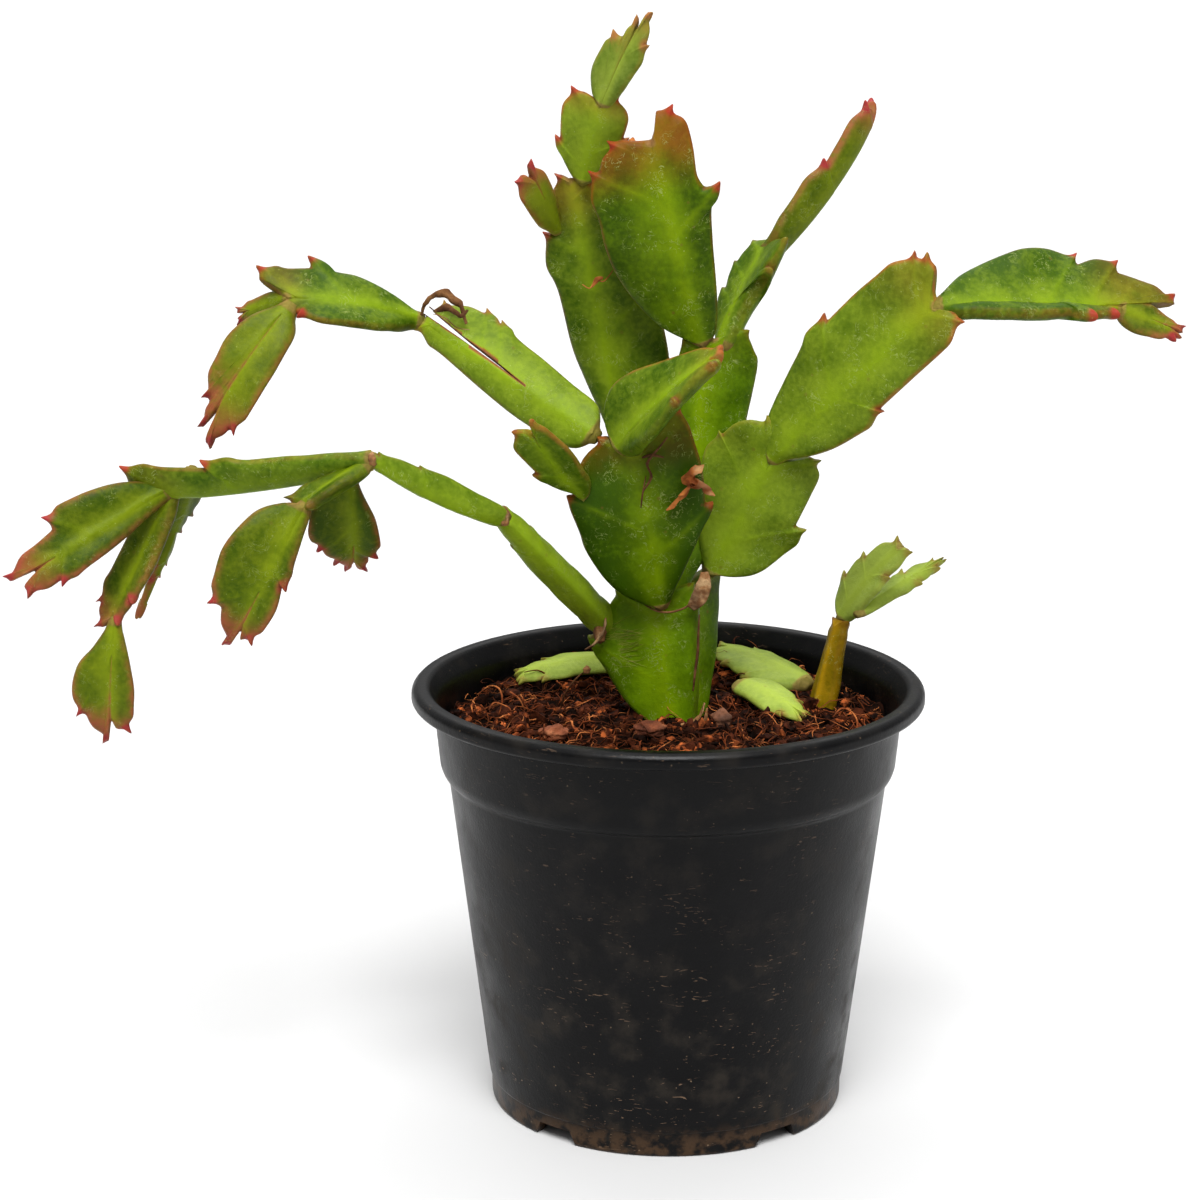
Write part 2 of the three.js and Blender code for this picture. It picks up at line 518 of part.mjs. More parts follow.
grow("lying_segment_1", paleGreen, [33.6, 27, 93.4], [11.9, 42.6, 98.2], [0, -0.15, 1], {
  neck: 3, thick: 1.3, bow: 0.8,
  left: [[1, 5], [5.3, 7.8], [12.5, 9.3, 1], [20, 7.3, 1], [26, 4, 1]],
  right: [[2, 4], [6, 5], [12, 5.4], [19, 5, 1], [28, 3, 1]],
});
grow("lying_segment_2", paleGreen, [17.6, 17.6, 95.6], [31.9, 1.6, 92], [0, -0.24, 1], {
  neck: 3, thick: 1.2, bow: 0.6,
  left: [[1.5, 5], [5, 6.4], [11, 5.8], [16, 4.6, 0.6], [21, 2.2, 0.5]],
  right: [[2, 3.6], [6, 4], [12, 4.9], [18, 4, 0.6], [23, 1.8, 0.5]],
});
grow("lying_segment_3", paleGreen, [-13, 38.5, 95.4], [-37.6, 31.6, 93.2], [0, -0.3, 1], {
  neck: 2.6, thick: 1.2, bow: 1.5,
  left: [[3, 4.4], [10, 4.8], [19.6, 5, 1], [25, 3, 0.8]],
  right: [[2, 4.7], [8.6, 5.4], [17.3, 4.4, 1], [24.5, 3, 0.8]],
});

// ---------------------------------------------------------------- pot
function potSolid() {
  const inner = (radius) => radius - POT_WALL;
  const profile = [
    [0, FLOOR_BOTTOM], [FOOT_INNER_RADIUS - 0.3, FLOOR_BOTTOM], [FOOT_INNER_RADIUS, 0.6],
    [FOOT_INNER_RADIUS + 0.6, 0], [FOOT_RADIUS - 0.7, 0], [FOOT_RADIUS, 0.8],
    [FOOT_RADIUS + 0.1, STEP_HEIGHT - 0.5], [STEP_RADIUS, STEP_HEIGHT],
    [BODY_TOP_RADIUS, BODY_TOP], [BODY_TOP_RADIUS + 0.9, BODY_TOP + 0.9],
    [COLLAR_BOTTOM_RADIUS, COLLAR_BOTTOM], [COLLAR_TOP_RADIUS, LIP_BOTTOM - 1.1],
    [COLLAR_TOP_RADIUS + 1.3, LIP_BOTTOM - 0.5], [COLLAR_TOP_RADIUS + 1.5, LIP_BOTTOM],
    [LIP_RADIUS - 0.8, LIP_BOTTOM], [LIP_RADIUS, LIP_BOTTOM + 0.9], [LIP_RADIUS, POT_HEIGHT - 1.1],
    [LIP_RADIUS - 0.7, POT_HEIGHT - 0.2], [LIP_RADIUS - 1.5, POT_HEIGHT],
    [LIP_INNER_RADIUS + 0.8, POT_HEIGHT], [LIP_INNER_RADIUS, POT_HEIGHT - 0.5],
    [inner(COLLAR_TOP_RADIUS) + 0.4, LIP_BOTTOM - 0.6], [inner(COLLAR_BOTTOM_RADIUS) + 0.1, COLLAR_BOTTOM],
    [inner(BODY_TOP_RADIUS), BODY_TOP], [inner(STEP_RADIUS) - 0.1, FLOOR_TOP], [0, FLOOR_TOP],
  ].map(([radius, height]) => new THREE.Vector2(radius, height));
  const lathe = new THREE.LatheGeometry(profile, POT_SIDES);
  lathe.rotateX(Math.PI / 2);
  let pot = toSolid(lathe);
  for (const angle of FOOT_SLOT_ANGLES) {
    const half = FOOT_SLOT_WIDTH / 2;
    const outline = new THREE.Shape();
    outline.moveTo(-half, -2);
    outline.lineTo(half, -2);
    outline.lineTo(half, 0);
    outline.lineTo(half - 1.6, FOOT_SLOT_HEIGHT);
    outline.lineTo(-half + 1.6, FOOT_SLOT_HEIGHT);
    outline.lineTo(-half, 0);
    outline.closePath();
    const slot = new THREE.ExtrudeGeometry(outline, { depth: 8, bevelEnabled: false });
    slot.rotateX(Math.PI / 2);
    slot.translate(0, -36, 0);
    slot.rotateZ(radians(angle));
    pot = pot.subtract(toSolid(slot));
  }
  for (let i = 0; i < DRAIN_HOLES; i += 1) {
    const hole = new THREE.CylinderGeometry(DRAIN_RADIUS, DRAIN_RADIUS, 6, 16);
    hole.rotateX(Math.PI / 2);
    hole.translate(DRAIN_CIRCLE, 0, (FLOOR_BOTTOM + FLOOR_TOP) / 2);
    hole.rotateZ((2 * Math.PI * i) / DRAIN_HOLES);
    pot = pot.subtract(toSolid(hole));
  }
  return pot;
}

// ---------------------------------------------------------------- soil
function soilHeight(x, y) {
  const rough = Math.sin(0.31 * x + 1.3) * Math.cos(0.27 * y) + 0.7 * Math.sin(0.63 * x - 0.47 * y)
    + 0.5 * Math.cos(0.91 * y + 0.5 * x);
  const heap = HEAP_HEIGHT * Math.exp(-((Math.hypot(x - HEAP_PLACE[0], y - HEAP_PLACE[1]) / HEAP_WIDTH) ** 2));
  const crown = 1.2 * Math.cos((Math.PI * Math.hypot(x, y)) / 110);
  return SOIL_TOP + 0.5 * SOIL_LUMPS * rough + crown + SOIL_TILT * y + heap;
}

function soilSolid() {
  const sides = POT_SIDES / 2;
  const rings = 8;
  const wallRadius = (z) => {
    const low = STEP_RADIUS - POT_WALL - 0.1;
    const high = BODY_TOP_RADIUS - POT_WALL;
    const body = low + ((high - low) * (z - FLOOR_TOP)) / (BODY_TOP - FLOOR_TOP);
    return Math.min(body, high) * Math.cos(Math.PI / sides) - SOIL_GAP;
  };
  const points = [];
  const faces = [];
  const rimRadius = (COLLAR_BOTTOM_RADIUS - POT_WALL) * Math.cos(Math.PI / sides) - SOIL_GAP + 0.2;
  points.push([0, 0, soilHeight(0, 0)]);
  for (let ring = 1; ring <= rings; ring += 1) {
    const radius = (rimRadius * ring) / rings;
    for (let i = 0; i < sides; i += 1) {
      const angle = (2 * Math.PI * i) / sides;
      const x = radius * Math.cos(angle);
      const y = radius * Math.sin(angle);
      points.push([x, y, soilHeight(x, y)]);
    }
  }
  const at = (ring, i) => 1 + (ring - 1) * sides + (i % sides);
  for (let i = 0; i < sides; i += 1) {
    faces.push([0, at(1, i), at(1, i + 1)]);
    for (let ring = 1; ring < rings; ring += 1) {
      faces.push([at(ring, i), at(ring + 1, i), at(ring + 1, i + 1)]);
      faces.push([at(ring, i), at(ring + 1, i + 1), at(ring, i + 1)]);
    }
  }
  const lower = [[rimRadius, COLLAR_BOTTOM + 1], [wallRadius(BODY_TOP), BODY_TOP - 0.6],
    [wallRadius(FLOOR_TOP + SOIL_GAP), FLOOR_TOP + SOIL_GAP]];
  for (const [radius, z] of lower) {
    const ring = (points.length - 1) / sides + 1;
    for (let i = 0; i < sides; i += 1) {
      const angle = (2 * Math.PI * i) / sides;
      points.push([radius * Math.cos(angle), radius * Math.sin(angle), z]);
      faces.push([at(ring - 1, i), at(ring, i), at(ring, i + 1)]);
      faces.push([at(ring - 1, i), at(ring, i + 1), at(ring - 1, i + 1)]);
    }
  }
  const bottom = points.length;
  points.push([0, 0, FLOOR_TOP + SOIL_GAP]);
  for (let i = 0; i < sides; i += 1) {
    faces.push([bottom, at((bottom - 1) / sides, i + 1), at((bottom - 1) / sides, i)]);
  }
  return fromPoints(points, faces);
}

// A plain oval hole in the soil for a stem to stand in.
function stemHole(center, halfWidth, halfDepth, turn, bottom) {
  const hole = new THREE.CylinderGeometry(1, 1, 40, 20);
  hole.rotateX(Math.PI / 2);
  hole.scale(halfWidth, halfDepth, 1);
  hole.rotateZ(radians(turn));
  hole.translate(center[0], center[1], bottom + 20);
  return toSolid(hole);
}

// A rounded lump with a seeded unevenness.
function lump(center, size, seed) {
  const ball = new THREE.IcosahedronGeometry(1, 1);
  const place = ball.attributes.position;
  for (let i = 0; i < place.count; i += 1) {
    const [x, y, z] = [place.getX(i), place.getY(i), place.getZ(i)];
    const swell = 1 + 0.12 * Math.sin(5.1 * x + seed) * Math.cos(4.3 * y - seed) + 0.06 * Math.sin(7 * z);
    place.setXYZ(i, center[0] + size[0] * x * swell, center[1] + size[1] * y * swell,
      center[2] + size[2] * z * swell);
  }
  return toSolid(ball);
}

// ---------------------------------------------------------------- assembly
const group = new THREE.Group();
const pot = potSolid();
let soil = soilSolid();
group.add(toMesh("pot", pot, potPlastic));

const solids = {};
const rooms = {};
const NUDGES = [[1, 0, 0], [-1, 0, 0], [0, 1, 0], [0, -1, 0], [0, 0, 1], [0, 0, -1]]
  .map((move) => move.map((step) => 0.75 * SEAT_GAP * step));
for (const segment of order) {
  solids[segment.name] = segment.solid();
  rooms[segment.name] = segment.solid(SEAT_GAP);
}
solids.trunk_segment = solids.trunk_segment.add(solids.trunk_wing);
rooms.trunk_segment = rooms.trunk_segment.add(rooms.trunk_wing);

// The damaged segment of the upper arm is split from its far end back along the midrib.
const split = new THREE.Shape();
const splitSegment = segments.upper_left_segment_1;
split.moveTo(30, 1.9);
split.lineTo(42, 1.5);
split.lineTo(54, 1.3);
split.lineTo(53, 4.6);
split.lineTo(43, 3.2);
split.closePath();
const splitCut = new THREE.ExtrudeGeometry(split, { depth: 14, bevelEnabled: false });
splitCut.translate(0, 0, -7);
splitCut.applyMatrix4(new THREE.Matrix4().makeBasis(splitSegment.along, splitSegment.across,
  new THREE.Vector3().crossVectors(splitSegment.along, splitSegment.across)).setPosition(splitSegment.seat));
solids.upper_left_segment_1 = largest(solids.upper_left_segment_1.subtract(toSolid(splitCut)));

for (const segment of order) {
  if (segment.name === "trunk_wing") {
    continue;
  }
  let solid = solids[segment.name];
  for (const other of segment.clear) {
    solid = solid.subtract(rooms[other]);
    for (const move of NUDGES) {
      solid = solid.subtract(solids[other].translate(move));
    }
    solid = largest(solid);
  }
  solid = largest(solid.simplify(SLIVER));
  solids[segment.name] = solid;
  group.add(toMesh(segment.name, solid, segment.look));
}

soil = soil.subtract(stemHole([3.2, 6], 9.8, 7.6, -6, HOLE_BOTTOM));
soil = soil.subtract(stemHole([36.4, 15.8], 6.6, 5.6, 0, HOLE_BOTTOM + 2));
for (const name of ["trunk_segment", "small_stem", "lying_segment_1", "lying_segment_2",
  "lying_segment_3"]) {
  soil = soil.subtract(rooms[name]);
}
const loose = [
  ["pebble", pebbleStone, [12.6, -0.5, 92.6], [2.5, 2.4, 2.3], 1],
  ["bark_chunk_1", barkBrown, [-4, -9, 92.4], [4, 2.6, 1.9], 2],
  ["bark_chunk_2", barkBrown, [-26, -12, 92.2], [3.4, 2.6, 1.8], 3],
];
for (const [name, look, center, size, seed] of loose) {
  soil = soil.subtract(lump(center, size.map((half) => half + SEAT_GAP), seed));
  group.add(toMesh(name, lump(center, size, seed), look));
}
group.add(toMesh("soil", largest(soil), coir));

// The origin is the middle of the footprint, on the surface the pot stands on.
const box = new THREE.Box3().setFromObject(group);
group.position.set(-(box.min.x + box.max.x) / 2, -(box.min.y + box.max.y) / 2, -box.min.z);

export default group;
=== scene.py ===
"""The looks of a potted christmas cactus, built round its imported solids. Lengths in the tables
are millimetres from the pot's axis at floor level, x to the right, y away from the camera, z up.
"""

import math

import bpy
import numpy as np
from mathutils import Matrix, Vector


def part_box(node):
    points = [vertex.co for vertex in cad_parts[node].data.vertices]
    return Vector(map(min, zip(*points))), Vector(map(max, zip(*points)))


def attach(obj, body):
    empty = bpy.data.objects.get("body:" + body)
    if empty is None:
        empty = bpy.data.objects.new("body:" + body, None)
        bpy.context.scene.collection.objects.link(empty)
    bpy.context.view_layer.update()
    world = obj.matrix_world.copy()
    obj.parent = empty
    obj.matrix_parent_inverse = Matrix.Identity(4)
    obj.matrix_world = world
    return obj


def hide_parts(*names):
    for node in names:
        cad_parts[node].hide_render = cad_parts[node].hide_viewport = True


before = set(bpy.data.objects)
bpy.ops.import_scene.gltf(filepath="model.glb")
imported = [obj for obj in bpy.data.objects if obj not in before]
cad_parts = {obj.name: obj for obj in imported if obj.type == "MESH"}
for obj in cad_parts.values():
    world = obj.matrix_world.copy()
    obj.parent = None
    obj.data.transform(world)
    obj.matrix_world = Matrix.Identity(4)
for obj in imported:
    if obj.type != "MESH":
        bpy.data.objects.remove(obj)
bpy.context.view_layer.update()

MILLIMETRES = 1000.0
pot_low, pot_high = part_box("pot")
AXIS = np.array([(pot_low.x + pot_high.x) * MILLIMETRES / 2,
                 (pot_low.y + pot_high.y) * MILLIMETRES / 2, 0.0])

# ------------------------------------------------------------------ camera
IMAGE_WIDTH = 1200
FOCAL_PIXELS = 3000
SENSOR = 36.0
CAMERA_PLACE = np.array([0.0, -677.8, 288.1])
CAMERA_PITCH = math.radians(13.853)
CAMERA_PAN = math.radians(-1.344)
CLIP_NEAR = 0.01
CLIP_FAR = 20


def unit(v):
    """A vector of length one in the direction of v."""
    v = np.asarray(v, float)
    return v / np.linalg.norm(v)


def units(rows):
    """Each row's vector at length one."""
    return rows / np.linalg.norm(rows, axis=-1, keepdims=True)


def bell(distance, width):
    """A bell that is 1 at distance 0 and falls off as exp(-(distance / width)^2)."""
    return np.exp(-(distance / width) ** 2)


def ring(radius, level, sides):
    """Places (radius cos turn, radius sin turn, level) all the way round the axis."""
    turn = np.linspace(0, 2 * np.pi, sides, endpoint=False)
    return np.stack([radius * np.cos(turn), radius * np.sin(turn), level + 0 * radius * turn], -1)


def add_object(name, data):
    """A new object in the scene that holds this mesh, camera or light."""
    made = bpy.data.objects.new(name, data)
    bpy.context.scene.collection.objects.link(made)
    return made


def make_camera():
    """The camera looks along (sin pan cos pitch, cos pan cos pitch, -sin pitch)."""
    ahead = np.array([math.sin(CAMERA_PAN) * math.cos(CAMERA_PITCH),
                      math.cos(CAMERA_PAN) * math.cos(CAMERA_PITCH), -math.sin(CAMERA_PITCH)])
    right = np.array([math.cos(CAMERA_PAN), -math.sin(CAMERA_PAN), 0.0])
    up = np.cross(right, ahead)
    data = bpy.data.cameras.new("camera")
    data.sensor_width = SENSOR
    data.lens = FOCAL_PIXELS / IMAGE_WIDTH * SENSOR
    data.clip_start = CLIP_NEAR
    data.clip_end = CLIP_FAR
    data.dof.use_dof = False
    camera = add_object("camera", data)
    matrix = np.eye(4)
    matrix[:3, 0], matrix[:3, 1], matrix[:3, 2] = right, up, -ahead
    matrix[:3, 3] = (CAMERA_PLACE + AXIS) / MILLIMETRES
    camera.matrix_world = Matrix(matrix.tolist())
    bpy.context.scene.camera = camera


make_camera()
bpy.context.scene.view_settings.view_transform = "Standard"


# ------------------------------------------------------------------ seeded roughness
HASH_X, HASH_Y, HASH_Z, HASH_SEED = 73856093, 19349663, 83492791, 26544357
HASH_MIX = 1274126177
LAYER_SEED_STEP = 17


def lattice_noise(places, size, seed):
    """Smooth noise from -1 to 1: the corners of a cubic lattice get seeded values, and a place
    takes the values of the eight corners round it, blended by the smooth step 3t^2 - 2t^3."""
    grid = np.asarray(places, float) / size
    cell = np.floor(grid).astype(np.int64)
    part = grid - cell
    part = part * part * (3 - 2 * part)

    def corner(dx, dy, dz):
        """The seeded value at one corner of each place's cell."""
        mixed = ((cell[..., 0] + dx) * HASH_X) ^ ((cell[..., 1] + dy) * HASH_Y)
        mixed = mixed ^ ((cell[..., 2] + dz) * HASH_Z) ^ (seed * HASH_SEED)
        mixed = (mixed ^ (mixed >> 13)) * HASH_MIX
        mixed = mixed ^ (mixed >> 16)
        return (mixed & 0xFFFF) / 32767.5 - 1

    value = 0
    for dx in (0, 1):
        for dy in (0, 1):
            for dz in (0, 1):
                weight = 1
                for axis, step in enumerate((dx, dy, dz)):
                    weight = weight * (part[..., axis] if step else 1 - part[..., axis])
                value = value + weight * corner(dx, dy, dz)
    return value


def layered_noise(places, size, seed, layers=3):
    """A sum of lattice noises, each half as coarse and half as strong as the one before."""
    return sum(lattice_noise(places, size / 2 ** k, seed + LAYER_SEED_STEP * k) / 2 ** k
               for k in range(layers))


# ------------------------------------------------------------------ meshes


def grid_faces(rows, columns):
    """Quads between each row of places and the next; the last column meets the first."""
    i = np.arange(rows - 1)[:, None] * columns
    j = np.arange(columns)[None, :]
    k = (j + 1) % columns
    return np.stack([i + j, i + k, i + k + columns, i + j + columns], -1).reshape(-1, 4)


def tube_faces(rows, columns, count=1):
    """Faces of count closed tubes: quads along each, and a many-sided face over each end."""
    quads = grid_faces(rows, columns)
    start = np.arange(columns)[::-1]
    end = np.arange(columns) + (rows - 1) * columns
    faces = []
    for tube in range(count):
        base = tube * rows * columns
        faces += (quads + base).tolist()
        faces += [(start + base).tolist(), (end + base).tolist()]
    return faces


def capped_faces(rows, columns):
    """Quads of a grid, and a fan of triangles from a pole to its first row and one to its last.
    The two poles are the places that follow the grid's own."""
    j = np.arange(columns)
    k = (j + 1) % columns
    last = (rows - 1) * columns
    pole = np.full(columns, rows * columns)
    return (grid_faces(rows, columns).tolist() + np.stack([pole, k, j], -1).tolist()
            + np.stack([pole + 1, last + j, last + k], -1).tolist())


def outward(points, faces):
    """Turns the faces over when the volume that they enclose, the sum of the six-fold corner
    tetrahedra, comes out negative."""
    volume = 0.0
    for size in sorted({len(f) for f in faces}):
        same = np.array([f for f in faces if len(f) == size])
        for k in range(1, size - 1):
            a, b, c = points[same[:, 0]], points[same[:, k]], points[same[:, k + 1]]
            volume += np.einsum("ij,ij->", a, np.cross(b, c))
    return faces if volume > 0 else [f[::-1] for f in faces]


def new_mesh(name, points, faces):
    """A mesh with outward faces. Points are millimetres from the pot's axis."""
    points = np.asarray(points, float).reshape(-1, 3)
    faces = outward(points - points.mean(0), [list(map(int, f)) for f in faces])
    mesh = bpy.data.meshes.new(name)
    mesh.from_pydata(((points + AXIS) / MILLIMETRES).tolist(), [], faces)
    return mesh


def make_piece(name, points, faces, finish, stands_for=(), paint=None):
    """One finished mesh riding on the pot's body. Paint holds a red, green, blue, alpha row for
    each point under each attribute's name."""
    mesh = new_mesh(name, points, faces)
    for channel, values in (paint or {}).items():
        attribute = mesh.attributes.new(channel, "FLOAT_COLOR", "POINT")
        attribute.data.foreach_set("color", np.asarray(values, np.float32).ravel())
    mesh.polygons.foreach_set("use_smooth", np.ones(len(faces), bool))
    mesh.materials.append(FINISHES[finish])
    mesh.update()
    mesh.validate()
    piece = add_object(name, mesh)
    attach(piece, "root")
    if stands_for:
        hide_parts(*stands_for)
    return piece


def cut(piece, points, faces):
    """Takes a closed shape out of the piece; the result becomes the piece's own mesh."""
    cutter = add_object("cutter", new_mesh("cutter", points, faces))
    modifier = piece.modifiers.new("cut", "BOOLEAN")
    modifier.operation = "DIFFERENCE"
    modifier.solver = "EXACT"
    modifier.object = cutter
    bpy.context.view_layer.update()
    shape = piece.evaluated_get(bpy.context.evaluated_depsgraph_get())
    mesh = bpy.data.meshes.new_from_object(shape)
    piece.modifiers.clear()
    piece.data = mesh
    bpy.data.objects.remove(cutter)


def even_tone(points, tone):
    """Paint that gives every point the same tone."""
    return {"tone": np.full((len(points), 4), tone)}


def own_tones(tones):
    """Paint that gives each point its own tone."""
    return {"tone": np.stack([tones] * 3 + [np.ones_like(tones)], -1)}


# ------------------------------------------------------------------ finishes
LIGHT_SHARE = 0.7
NOISE_ROUGHNESS = 0.55
UNDERSKIN_RADII = (0.6, 0.8, 0.2)
UNDERSKIN_SCALE = 0.0015
SKIN_SPECULAR = 0.07
SKIN_GLOW = 0.1
PALE_SPECK = (206, 214, 130)
PALE_SCRATCH = (190, 204, 120)
BROWN_BLOT = (120, 84, 40)
NOTCH_BROWN = (118, 62, 34)
CORK_DARK = (92, 54, 28)
CORK_PALE = (186, 142, 92)
BLACK_DEEP = (3, 3, 4)
BLACK_CLOUD = (10, 10, 11)
POT_DUST = (74, 66, 56)
POT_SPECK = (150, 128, 104)
POT_SCUFF = (128, 104, 84)
FOOT_DUST = (84, 62, 42)
POT_SPECULAR = 0.14


def linear(color, share=1.0):
    """A 0 to 255 sRGB colour as linear red, green and blue times a share, and an alpha of one."""
    parts = [c / 255 for c in color]
    return [share * (c / 12.92 if c <= 0.04045 else ((c + 0.055) / 1.055) ** 2.4)
            for c in parts] + [1.0]


def seen(color):
    """The colour of a surface that shows as this sRGB colour under the scene's bright light."""
    return linear(color, LIGHT_SHARE)


class Finish:
    """A material whose pattern reads the piece's own coordinates in millimetres."""

    def __init__(self, name):
        self.material = bpy.data.materials.new(name)
        self.material.use_nodes = True
        self.tree = self.material.node_tree
        self.shader = self.tree.nodes["Principled BSDF"]
        place = self.node("ShaderNodeTexCoord").outputs["Object"]
        self.place = self.node("ShaderNodeVectorMath", {0: place, "Scale": MILLIMETRES},
                               operation="SCALE").outputs[0]

    def node(self, kind, inputs=None, **settings):
        """A new node with these settings, and these values or links on its inputs."""
        made = self.tree.nodes.new(kind)
        for key, value in settings.items():
            setattr(made, key, value)
        for key, value in (inputs or {}).items():
            self.link(value, made.inputs[key])
        return made

    def link(self, source, target):
        """Joins a node's output to an input, or sets a plain value on the input itself."""
        if isinstance(source, (int, float, list, tuple)):
            target.default_value = source
        else:
            self.tree.links.new(source, target)

    def noise(self, scale, detail=3.0, stretch=None, distortion=0.0):
        """Cloudy noise; stretch holds the pattern's scale and rotation along x, y and z."""
        source = self.place
        if stretch:
            source = self.node("ShaderNodeMapping", {"Vector": source, "Scale": stretch[0],
                                                     "Rotation": stretch[1]}).outputs["Vector"]
        return self.node("ShaderNodeTexNoise", {
            "Vector": source, "Scale": scale, "Detail": detail, "Roughness": NOISE_ROUGHNESS,
            "Distortion": distortion}).outputs["Fac"]

    def cells(self, scale):
        """The distance to the nearest of many scattered places."""
        return self.node("ShaderNodeTexVoronoi",
                         {"Vector": self.place, "Scale": scale}).outputs["Distance"]

    def attribute(self, name):
        """The four channels of a painted attribute."""
        made = self.node("ShaderNodeAttribute", attribute_name=name)
        parts = self.node("ShaderNodeSeparateColor", {0: made.outputs["Color"]})
        return [*parts.outputs[:3], made.outputs["Alpha"]]

    def step(self, value, low, high, bottom=0.0, top=1.0):
        """The value's smooth step from bottom at low to top at high."""
        return self.node("ShaderNodeMapRange", {
            "Value": value, "From Min": low, "From Max": high, "To Min": bottom, "To Max": top},
            interpolation_type="SMOOTHSTEP").outputs["Result"]

    def combine(self, operation, a, b):
        """Two values combined and kept from 0 to 1."""
        return self.node("ShaderNodeMath", {0: a, 1: b}, operation=operation,
                         use_clamp=True).outputs[0]

    def times(self, a, b):
        """The product of two values, kept from 0 to 1."""
        return self.combine("MULTIPLY", a, b)

    def plus(self, a, b):
        """The sum of two values, kept from 0 to 1."""
        return self.combine("ADD", a, b)

    def mix(self, share, a, b):
        """Colour a at share 0, colour b at share 1."""
        return self.node("ShaderNodeMix", {0: share, 6: a, 7: b}, data_type="RGBA").outputs[2]

    def height(self, pairs):
        """Bumps one on top of the other, each a pattern and its height in millimetres."""
        normal = None
        for value, millimetres in pairs:
            inputs = {"Strength": 1.0, "Distance": millimetres / MILLIMETRES, "Height": value}
            if normal is not None:
                inputs["Normal"] = normal
            normal = self.node("ShaderNodeBump", inputs).outputs["Normal"]
        self.link(normal, self.shader.inputs["Normal"])

    def finish(self, color, roughness, specular, glow=0.0):
        """Colour and roughness onto the shader; glow lets light spread under the surface."""
        self.link(color, self.shader.inputs["Base Color"])
        self.link(roughness, self.shader.inputs["Roughness"])
        self.shader.inputs["Specular IOR Level"].default_value = specular
        if glow:
            self.shader.inputs["Subsurface Weight"].default_value = glow
            self.shader.inputs["Subsurface Radius"].default_value = UNDERSKIN_RADII
            self.shader.inputs["Subsurface Scale"].default_value = UNDERSKIN_SCALE
        return self.material


def waxy_skin(name, deep, pale, rib, margin, tooth, flush, corky=0.3, wear=0.4,
              margin_reach=0.4):
    """Waxy stem skin: a mottled green between a deep and a pale tone, with painted shade that
    darkens each blade towards its edges and lightens it along its middle, a yellow-green midrib
    and veins, a coloured margin, flushed teeth and tip, brown cork at the joints, pale specks,
    fine scratches and small brown marks."""
    f = Finish(name)
    edge, along, flank, broad = f.attribute("pad")
    tooth_near, joint, vein, notch = f.attribute("mark")
    tone, margin_flush, claw_flush, blush = f.attribute("tone")
    clouds = f.noise(0.16, 3.0)
    mottle = f.noise(0.9, 4.0)
    grain = f.noise(3.6, 3.0)

    shade = f.plus(tone, f.step(clouds, 0.3, 0.72, -0.1, 0.12))
    shade = f.plus(shade, f.step(mottle, 0.3, 0.75, -0.08, 0.12))
    # painted shade: the tone is lowered towards the blade's edges and raised along its middle, as
    # light falls on a plump blade
    shade = f.plus(shade, f.step(broad, 0.0, 1.0, -0.1, 0.1))
    color = f.mix(shade, seen(deep), seen(pale))
    color = f.mix(f.step(grain, 0.5, 0.75, 0, 0.2), color, seen(deep))
    glow = f.plus(f.times(broad, 0.4), f.times(f.plus(flank, vein), 0.25))
    color = f.mix(f.times(glow, f.step(clouds, 0.25, 0.6, 0.35, 1.0)), color, seen(rib))

    ragged = f.step(f.noise(0.5, 3.0), 0.3, 0.62, 0.25, 1.0)
    on_margin = f.times(f.step(edge, margin_reach, 0.85), ragged)
    on_margin = f.times(on_margin, f.step(along, 0.0, 0.9, 0.35, 1.0))
    color = f.mix(f.times(on_margin, margin_flush), color, seen(margin))
    blush = f.times(blush, f.step(along, 0.72, 1.0, 0.06, 1.0))
    blush = f.times(blush, f.step(clouds, 0.3, 0.65, 0.5, 1.0))
    color = f.mix(blush, color, seen(margin))
    end = f.times(f.step(along, 0.82, 1.02), flush)
    near = f.times(f.plus(f.step(tooth_near, 0.1, 0.8), end), claw_flush)
    near = f.times(near, f.step(f.noise(0.35, 3.0), 0.28, 0.55, 0.45, 1.0))
    color = f.mix(near, color, seen(tooth))

    speck = f.times(f.step(f.cells(0.55), 0.03, 0.12, 1.0, 0.0), f.step(mottle, 0.42, 0.5))
    color = f.mix(f.times(speck, 0.5 * wear + 0.15), color, seen(PALE_SPECK))
    net = f.noise(0.42, 3.0, None, 1.2)
    scratch = f.times(f.step(net, 0.478, 0.5), f.step(net, 0.522, 0.5))
    scratch = f.times(scratch, f.step(f.noise(0.2, 3.0), 0.5, 0.64))
    color = f.mix(f.times(scratch, wear), color, seen(PALE_SCRATCH))
    blot = f.times(f.step(f.cells(0.16), 0.04, 0.1, 1.0, 0.0), corky)
    color = f.mix(blot, color, seen(BROWN_BLOT))
    color = f.mix(f.step(notch, 0.35, 0.9, 0, 0.6), color, seen(NOTCH_BROWN))
    cork_edge = f.step(f.plus(joint, f.times(mottle, 0.35)), 0.62, 1.05, 0, 0.85)
    brown = f.mix(mottle, seen(CORK_DARK), seen(CORK_PALE))
    color = f.mix(f.times(cork_edge, corky + 0.45), color, brown)

    rough = f.step(mottle, 0.3, 0.75, 0.36, 0.5)
    rough = f.plus(rough, f.times(cork_edge, 0.35))
    f.height([(mottle, 0.1), (grain, 0.04), (cork_edge, 0.15), (scratch, 0.04)])
    return f.finish(color, rough, SKIN_SPECULAR, SKIN_GLOW)


